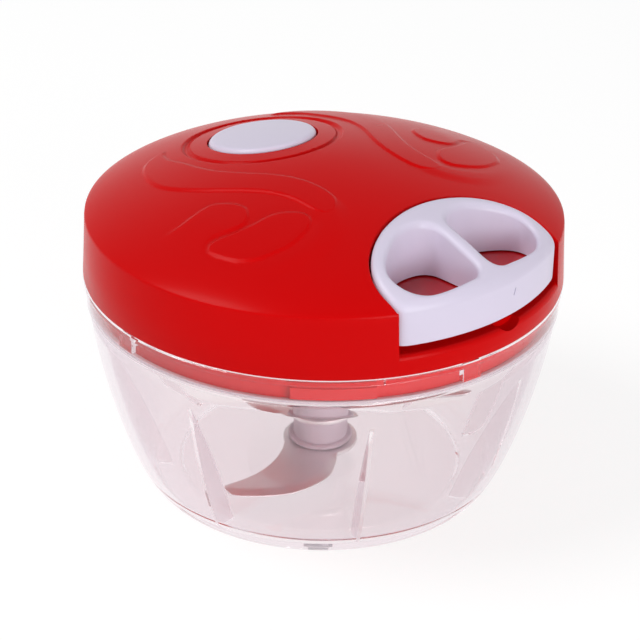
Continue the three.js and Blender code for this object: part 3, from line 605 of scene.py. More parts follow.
def bowl_shell():
    inner = wall_line(BOWL_WALL)
    inner = inner[(inner[:, 1] > 5.6) & (inner[:, 1] < SEAT - 2.6)]
    low_radius = inner[0][0]
    bend = [(low_radius - 1.8, FLOOR_THICKNESS + 0.1), (low_radius - 6.5, FLOOR_THICKNESS)]
    foot = curve(inner[0], bend)[1:]
    return lathe("bowl", [
        (0, 0.8), (BASE - 7.8, 0.8), (BASE - 7.2, 0.3), (BASE - 6.6, 0.0), (BASE - 0.4, 0.0),
        *wall_line(0)[2:],
        (COLLAR - 0.1, SEAT - 0.1), (COLLAR, SEAT + 0.2),
        (COLLAR, BOWL_HEIGHT - 1.9), (RIM - 0.1, BOWL_HEIGHT - 1.3), (RIM, BOWL_HEIGHT - 1.1),
        (RIM, BOWL_HEIGHT - 0.25), (RIM - 0.25, BOWL_HEIGHT),
        (COLLAR_INSIDE + 0.2, BOWL_HEIGHT), (COLLAR_INSIDE, BOWL_HEIGHT - 0.2),
        (COLLAR_INSIDE, SEAT), (COLLAR_INSIDE - 1.3, SEAT), (COLLAR_INSIDE - 1.3, SEAT - 0.8),
        *inner[::-1], *foot, (0, FLOOR_THICKNESS),
    ])


bowl = bowl_shell()
print("bowl shell faces", len(bowl.data.polygons))

# %% [markdown]
# ## Fins, by Geometry Nodes
# Eight upright fins stand inside the wall and catch the food as it whirls round. They are all the
# same, so one fin is drawn, and a Geometry Nodes group repeats it round the axis. Count and first
# angle are named inputs: a bowl with six fins needs one number changed.

# %% Functions for Geometry Nodes groups
def geometry_group(name, **inputs):
    """An empty group: geometry goes in and out, and it has more inputs with names."""
    tree = bpy.data.node_groups.new(name, "GeometryNodeTree")
    for label, kind in {"Geometry": "Geometry", **inputs}.items():
        tree.interface.new_socket(label.replace("_", " "), in_out="INPUT", socket_type="NodeSocket" + kind)
    tree.interface.new_socket("Geometry", in_out="OUTPUT", socket_type="NodeSocketGeometry")
    return tree, tree.nodes.new("NodeGroupInput").outputs, tree.nodes.new("NodeGroupOutput").inputs


def finish_group(tree, shape, into, out):
    """Every group ends alike: copies become real geometry and get their material."""
    real = tree.nodes.new("GeometryNodeRealizeInstances")
    paint = tree.nodes.new("GeometryNodeSetMaterial")
    connect(tree, (shape, real.inputs[0]), (real.outputs[0], paint.inputs["Geometry"]),
            (into["Material"], paint.inputs["Material"]), (paint.outputs[0], out[0]))
    return tree


def run_group(piece, tree, **values):
    """Adds the group to a piece, sets its named inputs and bakes the result."""
    step = piece.modifiers.new(tree.name, "NODES")
    step.node_group = tree
    for item in tree.interface.items_tree:
        label = item.name.lower().replace(" ", "_")
        if item.in_out == "INPUT" and label in values:
            step[item.identifier] = values[label]
    return bake(piece)


# %% Geometry Nodes: copies round the axis
def copies_tree():
    tree, into, out = geometry_group(
        "Copies round the axis", Count="Int", First_Angle="Float", Material="Material")
    points = tree.nodes.new("GeometryNodePoints")
    index = tree.nodes.new("GeometryNodeInputIndex").outputs[0]
    turn = tree.nodes.new("ShaderNodeCombineXYZ")
    place = tree.nodes.new("GeometryNodeInstanceOnPoints")
    share = calculate(tree, "DIVIDE", index, into["Count"])
    angle = calculate(tree, "MULTIPLY_ADD", share, FULL_TURN, into["First Angle"])
    connect(tree, (into["Count"], points.inputs["Count"]), (angle, turn.inputs["Z"]),
            (points.outputs[0], place.inputs["Points"]), (into["Geometry"], place.inputs["Instance"]),
            (turn.outputs[0], place.inputs["Rotation"]))
    return finish_group(tree, place.outputs[0], into, out)


COPIES = copies_tree()


def round_axis(piece, count, first=0.0, paint=None):
    return run_group(piece, COPIES, count=count, first_angle=math.radians(first), material=paint)


# %% Bowl: fins, lugs, boss and bore
FIN_COUNT = 8
FIN_ANGLE = -32.4
FIN_HALF = 0.5
FIN_ROOT = FLOOR_THICKNESS / 2
FIN_TOP = SEAT - 4.6


def one_fin():
    middle = wall_line(BOWL_WALL / 2)
    top_radius = middle[np.searchsorted(middle[:, 1], FIN_TOP)][0]
    edge = curve((BASE - 5, FIN_ROOT), [(BASE + 0.4, 20.0), (top_radius, FIN_TOP)])
    back = middle[(middle[:, 1] > FIN_ROOT) & (middle[:, 1] < FIN_TOP - 2)][::-1]
    piece = prism("fin", np.vstack([edge, back]).tolist(), -FIN_HALF, FIN_HALF)
    stand = Matrix(((1, 0, 0), (0, 0, -1), (0, 1, 0))).to_4x4()
    piece.data.transform(stand)
    return piece


LUG_TOP = BOWL_HEIGHT - 0.4
LUG_INNER = COLLAR_INSIDE - 1.7
LUG_BOTTOM = SEAT + 1.4
LUG_COUNT = 4
LUG_START, STOP_START, LUG_END = -120, -100, -95
BOSS, PIN_BORE = 6.0, 2.6
lugs = joined(
    sector(LUG_INNER, COLLAR_INSIDE + 1, LUG_START, LUG_END, LUG_TOP - 2, LUG_TOP),
    sector(LUG_INNER, COLLAR_INSIDE + 1, STOP_START, LUG_END, LUG_BOTTOM, LUG_TOP - 1))
fins = round_axis(one_fin(), FIN_COUNT, FIN_ANGLE, CLEAR)
lugs = round_axis(lugs, LUG_COUNT, 0, CLEAR)
bowl = joined(bowl, fins, lugs, rod(BOSS, FIN_ROOT, 4.8))
bowl = cut(bowl, rod(PIN_BORE, 1.1, 6.0, 32))
dress(soften(bowl, 28), "clear_bowl", "bowl_body", CLEAR, ["bowl"])

# %% [markdown]
# ## Shape of the crown
# The crown's height at any radius follows one formula, the same as in the CAD model. Everything
# on the lid builds on it: the raised scrolls, the dish round the button, the handle and the button
# itself. With the height as a function, each of them is a small sum.

# %% Crown height
CROWN_POWER = 1.8
EDGE_POWER = 1.2


def crown(plan, depth=0.0):
    share = np.clip(np.hypot(plan[:, 0], plan[:, 1]) / (CROWN - depth), 0, 1)
    return CROWN_BASE + (CROWN_HEIGHT - depth) * (1 - share**CROWN_POWER) ** (1 / EDGE_POWER)


def crown_at(x):
    return crown(np.array([(x, 0.0)]))[0]


def smooth_step(value):
    value = np.clip(value, 0, 1)
    return value * value * (3 - 2 * value)


print("crown at centre and edge", crown_at(0), crown_at(CROWN))

# %% [markdown]
# ## Scrolls on the lid
# A long leaf, a band that wraps round its end and a pair of commas are raised by half a millimetre
# on each side of the lid. They are plain outlines drawn from above. Their height comes from the
# distance to the outline, which gives a soft, even edge all round, like a pattern cut into the
# mould with a rounded tool. Some of them fade out towards the rim.

# %% Scroll outlines
LEAF = [(-41.3, -19.4), (-38.6, -21.9), (-34.2, -23.9), (-27.8, -24.4), (-21.0, -24.9), (-14.6, -24.2),
        (-7.4, -21.4), (-1.2, -18.0), (3.5, -15.9), (8.0, -14.6), (13.5, -14.0), (18.4, -14.6),
        (21.6, -17.4), (21.8, -20.6), (19.2, -21.8), (14.2, -22.0), (10.2, -22.5), (5.4, -24.0),
        (1.2, -26.1),
        (-4.4, -29.4), (-10.4, -32.8), (-18.4, -35.7), (-24.5, -36.1), (-30.4, -34.4), (-35.8, -31.3),
        (-39.3, -27.8), (-41.2, -23.5)]
WRAP = [(16.0, -16.2), (22.0, -16.4), (27.6, -20.8), (30.7, -27.1), (30.4, -34.6), (27.4, -42.6),
        (21.0, -50.4), (12.0, -53.2), (12.4, -50.8), (19.0, -48.6), (23.0, -44.2), (25.1, -38.3),
        (25.6, -34.6), (25.3, -30.9), (24.1, -26.9), (22.2, -24.0), (18.4, -21.6)]
COMMA_LOW = [(9.4, -49.0), (14.1, -48.4), (17.9, -46.8), (21.4, -43.4), (23.4, -38.0), (23.9, -34.6),
             (23.6, -31.2), (22.6, -27.8), (21.0, -25.4), (18.9, -24.5), (16.8, -25.2), (14.4, -27.2),
             (12.7, -29.6), (11.9, -32.4), (11.5, -35.4), (10.6, -38.6), (9.6, -41.6), (8.4, -44.4),
             (8.0, -47.0)]
COMMA_HIGH = [(-5.2, -51.0), (-4.3, -46.0), (-4.2, -42.2), (-4.1, -39.1), (-3.2, -36.0), (0.0, -33.5),
              (4.2, -32.3), (7.4, -33.9), (9.2, -36.5), (9.2, -38.9), (8.1, -41.5), (6.6, -44.4),
              (6.6, -47.4), (8.0, -50.6), (5.0, -53.0), (-1.0, -53.4)]


def closed(points):
    """A closed smooth line with even steps."""
    return even_loop(spline([*points, points[0]], 8)[:-1], 0.6)


# Each scroll: its outline, the width of its soft edge, and how far out it starts and ends to fade
SCROLLS = [
    (closed(LEAF), 1.1, 60, 70),
    (closed(WRAP), 4.5, 20, 60),
    (closed(COMMA_LOW), 1.1, 60, 70),
    (closed(COMMA_HIGH), 1.1, 40, 53),
]
print("scroll outlines", len(SCROLLS), "points", sum(len(outline) for outline, *_ in SCROLLS))


# %% Lid surface: crown, scrolls and dish
RAISED = 0.5
DISH = 21.5
DISH_DEPTH = 0.3
GROOVE = 2.4
GROOVE_DEPTH = 0.9
SCROLL_REACH = 58


def signed(points, loop):
    gap = distance(points, loop)
    return np.where(inside(points, loop), gap, -gap)


def lid_surface(plan):
    height = crown(plan)
    raised = np.zeros(len(plan))
    folded = np.column_stack([plan[:, 0], -np.abs(plan[:, 1])])
    near = np.hypot(plan[:, 0], plan[:, 1]) < SCROLL_REACH
    for loop, soft_edge, fade_from, fade_to in SCROLLS:
        low, high = loop.min(axis=0) - 3, loop.max(axis=0) + 3
        close = near & np.all((folded > low) & (folded < high), axis=1)
        share = smooth_step(signed(folded[close], loop) / soft_edge + 0.5)
        away = np.hypot(folded[close, 0], folded[close, 1])
        share *= 1 - smooth_step((away - fade_from) / (fade_to - fade_from))
        raised[close] = np.maximum(raised[close], RAISED * share)
    away = np.hypot(plan[:, 0] - BUTTON_X, plan[:, 1])
    middle = DISH - GROOVE / 2
    groove = GROOVE_DEPTH * smooth_step(1.2 - np.abs(away - middle) / (GROOVE / 2) * 1.1)
    sunk = DISH_DEPTH * smooth_step((middle - away) / 0.6)
    return height + raised - np.maximum(groove, sunk)


# %% [markdown]
# ## The lid's outer skin
# The skin is a dense polar net: rings of points about half a millimetre apart, each lifted to the
# height of the lid surface. The skirt hangs from its last ring. The net closes underneath into a
# solid, so that booleans can hollow it and cut the handle's recess.

# %% Lid: dense outer solid
SEGMENTS = 540


def lid_solid():
    radii = np.concatenate([
        np.arange(0.5, 60.2, 0.5), [60.6, 61.0, 61.35, 61.65, 61.9, 62.1, 62.25, 62.36, 62.44],
        [CROWN]])
    angles = all_round(SEGMENTS)
    plan = np.vstack([[(0.0, 0.0)], *[polar(r, angles) for r in radii]])
    top = np.column_stack([plan, lid_surface(plan)])
    skirt = [(CROWN + 0.12, CROWN_BASE - 0.8), (CROWN + SKIRT_DRAFT / 2, CROWN_BASE - 8),
             (RIM, LID_BOTTOM + 0.4), (RIM - 0.1, LID_BOTTOM + 0.12), (RIM - 0.4, LID_BOTTOM)]
    lower = [np.column_stack([polar(r, angles), np.full(SEGMENTS, z)]) for r, z in skirt]
    points = np.vstack([top, *lower, [(0, 0, LID_BOTTOM)]])
    after = np.roll(np.arange(SEGMENTS), -1)
    faces = [[0, 1 + k, 1 + after[k]] for k in range(SEGMENTS)]
    for row in range(len(radii) + len(skirt) - 1):
        first = 1 + row * SEGMENTS
        faces += [[first + k, first + SEGMENTS + k, first + SEGMENTS + after[k], first + after[k]]
                  for k in range(SEGMENTS)]
    last = 1 + (len(radii) + len(skirt) - 1) * SEGMENTS
    faces += [[last + k, len(points) - 1, last + after[k]] for k in range(SEGMENTS)]
    return make("lid", points, [[int(v) for v in face] for face in faces])


lid = lid_solid()
print("lid skin faces", len(lid.data.polygons))

# %% [markdown]
# ## Under the skin
# Moulded covers are hollow and stiffened by walls and bosses. The recess for the handle has its
# own wall and floor, the button sits in a round well, four bosses take the screws and a thick one
# takes the drum's axle. They are built plainly, joined, and trimmed by a lowered copy of the crown.

# %% Sizes of the handle and its recess
HANDLE_LOW, HANDLE_HIGH = box_mm("pull_handle")
HANDLE_HALF = HANDLE_HIGH[1]
HANDLE_INNER = HANDLE_LOW[0]
HANDLE_END = 18.4
HANDLE_SHOULDER = HANDLE_INNER + HANDLE_END
HANDLE_REACH = HANDLE_HIGH[0]
HANDLE_FRONT = HANDLE_REACH - 3.4
RECESS_GAP = 0.4
LEDGE = LID_BOTTOM + 5.5
LEDGE_THICKNESS = 2.8
FLOOR = LEDGE + 6.8
FLOOR_GAP = 0.4
HIGHEST = CROWN_BASE + CROWN_HEIGHT + 1
DRUM_RADIUS, _, DRUM_TOP = box_mm("drum")[1]
KNOT_X, _, CORD_Z = sum(box_mm("cord_knot")) / 2


# %% Shapes that the recess and the crown are cut from
def handle_plan(offset, reach, steps=48):
    half = HANDLE_HALF + offset
    back = polar(1, np.linspace(0.5, 1.5, steps + 1) * math.pi) * (HANDLE_END + offset, half)
    return np.vstack([[(reach, -half), (reach, half)], back + (HANDLE_SHOULDER, 0)])


def recess(offset, floor, ledge, ledge_inner):
    """A raised floor under the finger holes, and a lower ledge under the handle's front wall."""
    plan = handle_plan(offset, RIM + 1)
    front = cut(prism("ledge", plan, ledge, HIGHEST), rod(ledge_inner, ledge - 1, HIGHEST + 1, 180))
    return joined(prism("floor", plan, floor, HIGHEST), front)


def crown_points(depth=0.0):
    radii = (CROWN - depth) * np.cos(np.linspace(0, math.pi / 2, 25))[:-1]
    return np.column_stack([radii, crown(np.column_stack([radii, 0 * radii]), depth)])


def crown_level(shift, radius=CROWN, sides=128):
    return lathe("level", [(0, LID_BOTTOM), (radius, LID_BOTTOM), (radius, CROWN_BASE + shift),
                           *(crown_points()[1:] + (0, shift)), (0, crown_at(0) + shift)], sides)


def crown_hollow(sides=128):
    return lathe("hollow", [(0, LID_BOTTOM - 1), (RIM - WALL, LID_BOTTOM - 1), *crown_points(WALL),
                            (0, crown_at(0) - WALL)], sides)


# %% Lid: recess, well and bosses
SCREWS = polar(SHOULDER - 12.2, np.radians((62, 130, -130, -62)))
SCREW_BORE = 1.3 + CLEARANCE
AXLE_BORE = 2.5 + CLEARANCE
GUIDE_BORE = 2.3 + CLEARANCE
POST = 2.4
BUTTON_PROUD = 0.6
BUTTON_DEPTH = 4.0
BUTTON = box_mm("press_button")[1][1]
WELL = BUTTON + RUN_GAP
well_bottom = crown_at(BUTTON_X) - 10
guide_top = crown_at(BUTTON_X) + BUTTON_PROUD - BUTTON_DEPTH - 3.4 + CLEARANCE
fittings = [recess(RECESS_GAP + WALL, FLOOR - WALL, LEDGE - LEDGE_THICKNESS,
                   HANDLE_FRONT - FLOOR_GAP - WALL)]
fittings += [rod(SCREW_BORE + 2.4, PLATE_TOP + CLEARANCE, HIGHEST, 32, x, y) for x, y in SCREWS]
fittings += [rod(AXLE_BORE + 3.2, DRUM_TOP, HIGHEST, 48),
             rod(WELL + 1.4, well_bottom, HIGHEST, 96, BUTTON_X)]
walls = common(joined(fittings[0], *fittings[1:]), crown_level(-WALL / 2, CROWN - CLEARANCE))
walls = cut(walls, rod(WELL, well_bottom - 1, HIGHEST, 96, BUTTON_X),
            rod(DRUM_RADIUS + RUN_GAP, LID_BOTTOM, DRUM_TOP + RUN_GAP, 96))
print("fittings faces", len(walls.data.polygons))

# %% [markdown]
# ## Rounded edges for the recess
# Two tools cut along the recess's edges. One is a ring with a hollow quarter round, for the lip
# below the handle. The other follows the crown along the recess's outline and takes off the sharp
# edge there.

# %% Cutters that round the recess's edges
def lip_cutter(radius=1.3):
    """Rounds the lip below the handle: the space outside a quarter circle, turned round Z."""
    face = RIM - SKIRT_DRAFT * (LEDGE - radius / 2 - LID_BOTTOM) / SKIRT_HEIGHT
    arc = [(face - radius * (1 - math.cos(a)), LEDGE - radius * (1 - math.sin(a)))
           for a in np.radians(np.linspace(0, 90, 9))]
    outside = [(face - radius, LEDGE + 1), (RIM + 1, LEDGE + 1), (RIM + 1, LEDGE - radius)]
    tool = lathe("lip", [*outside, (face + 0.05, LEDGE - radius), *arc[1:]], 720)
    return common(tool, prism("plan", handle_plan(RECESS_GAP, RIM + 1), LEDGE - 3, HIGHEST))


def edge_cutter(radius=0.45):
    """Rounds the crown's edge along the recess, from one side of the lid to the other."""
    line = even_steps(np.roll(handle_plan(RECESS_GAP, 55.0, 160), -1, axis=0), 0.4, False)
    out = left_of(np.gradient(line, axis=0))
    out *= np.sign(((line - (HANDLE_SHOULDER, 0)) * out).sum(axis=1))[:, None]
    section = [(-0.3, -radius), (-0.3, 0.6), (radius, 0.6)]
    section += [(radius * (1 - math.sin(a)), -radius * (1 - math.cos(a)))
                for a in np.radians(np.linspace(0, 90, 6))]
    sides, count = len(section), len(line)
    points = np.stack([np.column_stack([line + u * out, crown(line + u * out) + v])
                       for u, v in section], axis=1).reshape(-1, 3)
    faces = [[i * sides + k, i * sides + (k + 1) % sides, (i + 1) * sides + (k + 1) % sides,
              (i + 1) * sides + k] for i in range(count - 1) for k in range(sides)]
    faces += [list(range(sides)), list(range((count - 1) * sides, count * sides))]
    return make("edge", points, faces)


# %% Lid: hollow the skin, add the fittings and cut the openings
SCOOP, SCOOP_DEPTH = 5.5, 1.6
pocket = recess(RECESS_GAP, FLOOR, LEDGE, HANDLE_FRONT - FLOOR_GAP)
scoop = rod_along_x(SCOOP, RIM - 3.6, RIM + 1, 3.5, LEDGE + SCOOP - SCOOP_DEPTH, 64)
guide_hole = rod_along_x(GUIDE_BORE, HANDLE_INNER - 3.4, HANDLE_INNER + 1, 0, CORD_Z)
axle_bore = rod(AXLE_BORE, DRUM_TOP - 1, crown_at(0) - WALL, 48)
screw_bores = [rod(SCREW_BORE, PLATE_TOP - 1, PLATE_BOTTOM + 14, 24, x, y) for x, y in SCREWS]
ribs = block(BUTTON_X - 0.8, BUTTON_X + 0.8, -WELL - 0.7, WELL + 0.7, guide_top - 4.2, guide_top - 0.6)
sleeve = joined(ribs, rod(POST + CLEARANCE + 1.8, guide_top - 6.2, guide_top, 48, BUTTON_X))
sleeve = cut(sleeve, rod(POST + CLEARANCE, guide_top - 7, guide_top + 1, 48, BUTTON_X))

lid = joined(cut(lid, crown_hollow()), walls)
lid = cut(lid, rod(WELL, well_bottom - 1, HIGHEST, 128, BUTTON_X), pocket, scoop, guide_hole,
          axle_bore, *screw_bores, lip_cutter(), edge_cutter())
lid = joined(lid, sleeve)
print("lid faces after the cuts", len(lid.data.polygons))

# %% [markdown]
# ## True normals for the skin
# After booleans the net has some long, thin triangles along the cuts, and smooth shading smears
# there. The skin's own formula knows its exact slope, so every corner that lies on the skin gets
# that normal. The soft edges of the scrolls then look rounder than half-millimetre steps allow.

# %% Lid: normals from the surface formula
def values(items, label, width, kind=float):
    """One row of values for each vertex, corner or face of a mesh."""
    found = np.zeros(len(items) * width, kind)
    items.foreach_get(label, found)
    return found.reshape(-1, width)


def set_true_normals(piece):
    mesh = piece.data
    place = values(mesh.vertices, "co", 3) / MM
    corner = values(mesh.loops, "vertex_index", 1, int)[:, 0]
    normals = np.array([n.vector for n in mesh.corner_normals])
    corner_counts = values(mesh.polygons, "loop_total", 1, int)[:, 0]
    up = np.repeat(values(mesh.polygons, "normal", 3)[:, 2], corner_counts)
    plan = place[:, :2]
    on_skin = np.abs(lid_surface(plan) - place[:, 2]) < 0.08
    on_skin &= np.hypot(plan[:, 0], plan[:, 1]) < CROWN - 0.6
    small = 0.05
    slope_x = (lid_surface(plan + (small, 0)) - lid_surface(plan - (small, 0))) / (2 * small)
    slope_y = (lid_surface(plan + (0, small)) - lid_surface(plan - (0, small))) / (2 * small)
    true = np.column_stack([-slope_x, -slope_y, np.ones(len(plan))])
    true /= np.linalg.norm(true, axis=1)[:, None]
    chosen = on_skin[corner] & (up > 0.25)
    normals[chosen] = true[corner[chosen]]
    mesh.normals_split_custom_set(normals.tolist())
    print("corners with true normals", int(chosen.sum()), "of", len(corner))


soften(lid, 35)
set_true_normals(lid)
dress(lid, "scrolled_lid", "lid_body", RED, ["top_cover"])

# %% [markdown]
# ## The floor under the finger holes
# The floor down there looks paler and pinker than the lid, because it mirrors the handle's pale walls.
# Its faces get a second material slot with a glossier red, which is also darker than the lid's red:
# painted shade for the recess.

# %% Lid: glossier floor of the recess, with painted shade
def paint_recess_shade(piece):
    mesh = piece.data
    # Slot two is the darker red: painted shade on the recess floor.
    mesh.materials.append(RED_WITH_PAINTED_SHADE)
    count = 0
    for face in mesh.polygons:
        middle = face.center / MM
        level = FLOOR - 1 < middle.z < FLOOR + 0.2 and HANDLE_INNER - 1 < middle.x < HANDLE_FRONT
        if level and face.normal.z > 0.5 and abs(middle.y) < HANDLE_HALF + 1:
            face.material_index = 1
            count += 1
    print("faces of the recess floor", count)


paint_recess_shade(lid)

# %% [markdown]
# ## Base cover
# The base cover closes the lid from below. Its skirt hangs inside the bowl's collar and shows
# through the clear plastic as a red band. Its red is lighter than the lid's: painted light, as the
# skirt sits in shade behind the collar. Four lugs on the skirt slide under the bowl's lugs when
# the lid is turned.

# %% Base cover: disc, skirt, lugs and collars
cover_radius = RIM - WALL - SKIRT_DRAFT * (PLATE_TOP - LID_BOTTOM) / SKIRT_HEIGHT - CLEARANCE
skirt_radius = LUG_INNER - CLEARANCE
skirt_bottom = box_mm("base_cover")[0][2]
disc = ring(9.5, cover_radius, PLATE_BOTTOM, PLATE_TOP, 192)
skirt = lathe("skirt", [
    (skirt_radius - 1.8, skirt_bottom + 0.3), (skirt_radius - 1.5, skirt_bottom),
    (skirt_radius - 0.3, skirt_bottom), (skirt_radius, skirt_bottom + 0.3),
    (skirt_radius, PLATE_BOTTOM + 0.9), (skirt_radius - 1.8, PLATE_BOTTOM + 0.9)])
# The lugs and the cover take the lighter red: painted light.
lid_lugs = round_axis(sector(skirt_radius - 0.9, skirt_radius + 1.6, -141.7, -121.7,
                             LUG_BOTTOM, LUG_TOP - 2.8), LUG_COUNT, 0, RED_WITH_PAINTED_LIGHT)
spring_collar = ring(9.5, 11.0, PLATE_BOTTOM + 0.9, box_mm("thrust_washer")[0][2] - CLEARANCE, 96)
seal_seat = ring(11.8, 13.2, PLATE_BOTTOM - 2.6, PLATE_BOTTOM + 0.9, 96)
holes = [rod(SCREW_BORE, PLATE_BOTTOM - 1, PLATE_TOP + 1, 24, x, y) for x, y in SCREWS]
base_cover = cut(joined(disc, skirt, lid_lugs, spring_collar, seal_seat), *holes)
dress(soften(base_cover), "base_cover_skirt", "lid_body", RED_WITH_PAINTED_LIGHT, ["base_cover"])

# %% [markdown]
# ## Sealing ring
# A soft ring lies on the bowl's seat and keeps liquid in. Its section is a rounded strip, which
# gives it one long, soft highlight.

# %% Sealing ring
seal_low, seal_high = box_mm("seal_ring")
SEAL_ROUNDING = 0.3
outer, top = seal_high[0] - SEAL_ROUNDING, seal_high[2] - SEAL_ROUNDING
inner, under = seal_high[0] - 1.4 + SEAL_ROUNDING, seal_low[2] + SEAL_ROUNDING
section = []
for start, middle in ((0, (outer, top)), (90, (inner, top)), (180, (inner, under)), (270, (outer, under))):
    section += [*(polar(SEAL_ROUNDING, np.radians(np.linspace(start, start + 90, 5))) + middle)]
seal = lathe("seal", section)
dress(soften(seal, 60), "soft_seal", "seal_body", SILICONE, ["seal_ring"])

# %% [markdown]
# ## Pull handle
# The handle fills its recess in the lid, so its top follows the crown a little higher. Seen from
# above it is a half oval with two finger holes and a narrow web between them. All edges that
# fingers touch are well rounded. Below, a short bore and a pocket hold the cord and its knot.

# %% Handle
HANDLE_PROUD = 0.8


def handle_outline():
    half, reach = HANDLE_HALF, HANDLE_REACH
    turn = math.asin(half / reach)
    front = polar(reach, np.linspace(-turn, turn, 60))
    back = polar(1, np.linspace(0.5, 1.5, 90) * math.pi) * (HANDLE_END, half)
    return even_loop(np.vstack([front, back + (HANDLE_SHOULDER, 0)]), 0.55, 24)


def hole_outline(mirror):
    inner, side, web = HANDLE_INNER + 6, HANDLE_HALF - 4.7, 2.0
    outer_x = math.sqrt(HANDLE_FRONT**2 - side**2)
    near_x = math.sqrt(HANDLE_FRONT**2 - web**2)
    shoulder = inner + 0.65 * (outer_x - inner)
    path = curve(
        (inner + 5, web), (near_x - 5, web),
        [(near_x, web), (near_x - 1, web + 5)],
        [(near_x - 1, side - 10), (outer_x + 2.5, side - 5)],
        [(outer_x, side), (shoulder, side)],
        [(inner + 0.435 * (shoulder - inner), side), (inner, web + 10)],
        [(inner - 1, web), (inner + 5, web)])
    return even_loop(path[:-1], 0.55, 8) * (1, mirror)


handle = plate(
    "handle", handle_outline(), [hole_outline(1), hole_outline(-1)],
    lambda plan: crown(plan) + HANDLE_PROUD, lambda plan: np.full(len(plan), HANDLE_LOW[2]),
    edge=1.7, spacing=1.1, under=0.6)
mould_mark = block(-0.35, 1.0, -0.18, 0.18, -1.0, 1.0)
mould_mark.data.transform(Matrix.Translation((HANDLE_REACH * MM, 0, 73.6 * MM))
                          @ Matrix.Rotation(-0.3, 4, "X"))
mould_mark.data.transform(Matrix.Rotation(math.radians(4.8), 4, "Z"))
handle = cut(handle, rod(HANDLE_FRONT, HANDLE_LOW[2] - 1, FLOOR + FLOOR_GAP, 180),
             rod(2.2, HANDLE_LOW[2] - 1, CORD_Z + 2.2, 32, KNOT_X),
             rod_along_x(1.05, HANDLE_INNER - 1, KNOT_X, 0, CORD_Z, 24), mould_mark)
dress(soften(handle, 40), "finger_handle", "handle_body", PALE, ["pull_handle"])

# %% [markdown]
# ## Press button
# The button is a hollow cap whose face also follows the crown. A post slides in the lid's sleeve,
# and a short finger reaches down to the drum.

# %% Button
button = plate(
    "button", even_loop(circle(BUTTON, 180, BUTTON_X), 0.5), [],
    lambda plan: crown(plan) + BUTTON_PROUD, lambda plan: crown(plan) + BUTTON_PROUD - BUTTON_DEPTH,
    edge=1.5, spacing=1.2, under=0.3)
hollow = common(rod(BUTTON - 1.7, CROWN_BASE - 5, HIGHEST, 96, BUTTON_X), crown_level(-1.1))
post_low = box_mm("press_button")[0][2]
post = joined(rod(POST, post_low, post_low + 0.8, 48, BUTTON_X),
              rod(POST - 0.6, post_low + 0.5, post_low + 3, 48, BUTTON_X),
              rod(POST, post_low + 2, crown_at(BUTTON_X) - 0.2, 48, BUTTON_X))
finger_x = BUTTON_X + BUTTON - 3
finger = rod(1.8, DRUM_TOP + 2.8, crown_at(finger_x) - 0.2, 32, finger_x)
button = joined(cut(button, hollow), post, finger)
dress(soften(button, 40), "press_button_cap", "button_body", PALE, ["press_button"])

# %% [markdown]
# ## Blades
# Each blade is stamped from thin steel: a hub ring and one swept arm with a turned-up tip. The
# front edge is ground to a bevel, which shows as a bright line along the curve. One outline serves
# all three blades, each turned to its own angle.

# %% Blade outline and surfaces
BLADE_REACH = 39.5
BLADE_HALF = 0.5
HUB = 10.2
BLADE_TURNS = {"lower_blade": -90, "middle_blade": 150, "upper_blade": 30}
LEAD = np.array([(0.12, 0.29), (0.3, 0.4), (0.52, 0.41), (0.74, 0.35), (0.9, 0.26), (0.985, 0.19)])
TIP = np.array([(0.985, 0.19), (0.992, 0.14), (0.985, 0.1), (0.95, 0.08)])
TRAIL = np.array([(0.95, 0.08), (0.8, 0.085), (0.6, 0.06), (0.45, 0.02), (0.3, -0.06), (0.16, -0.19)])


def blade_outline():
    arm = np.vstack([spline(LEAD), spline(TIP), spline(TRAIL)]) * BLADE_REACH
    arm = arm[np.hypot(arm[:, 0], arm[:, 1]) > HUB]
    start = math.atan2(arm[-1][1], arm[-1][0])
    end = math.atan2(arm[0][1], arm[0][0]) - FULL_TURN
    hub = polar(HUB, np.linspace(start, end, 60)[1:-1])
    return even_loop(np.vstack([arm, hub]), 0.5, 3)


def lift(plan):
    """The arm bends up smoothly from the fold line outwards."""
    return math.tan(math.radians(7)) * np.maximum(plan[:, 0] - 0.64 * BLADE_REACH, 0)


def ground_top(plan):
    gap = distance(plan, spline(LEAD) * BLADE_REACH, closed=False)
    beyond = np.hypot(plan[:, 0], plan[:, 1]) > HUB + 0.5
    bevel = np.where(beyond, np.clip(1 - gap / 2.4, 0, 1), 0)
    return BLADE_HALF + lift(plan) - 0.75 * bevel


def blade_level(name):
    return box_mm(name)[0][2] + BLADE_HALF


for name, angle in BLADE_TURNS.items():
    blade = plate(name, blade_outline(), [circle(7.7, 64)], ground_top,
                  lambda plan: lift(plan) - BLADE_HALF, edge=0.12, spacing=1.0, under=0.05)
    blade.data.transform(Matrix.Translation((0, 0, blade_level(name) * MM))
                         @ Matrix.Rotation(math.radians(angle), 4, "Z"))
    dress(soften(blade, 25), name.replace("_", "_curved_"), "blade_body", BLADE, [name])

# %% [markdown]
# ## Blade shaft
# The shaft is moulded over the blades: a stem with a collar above and below each hub, a long bore
# for the steel pin and three dogs at the top that the lid's socket pushes round.

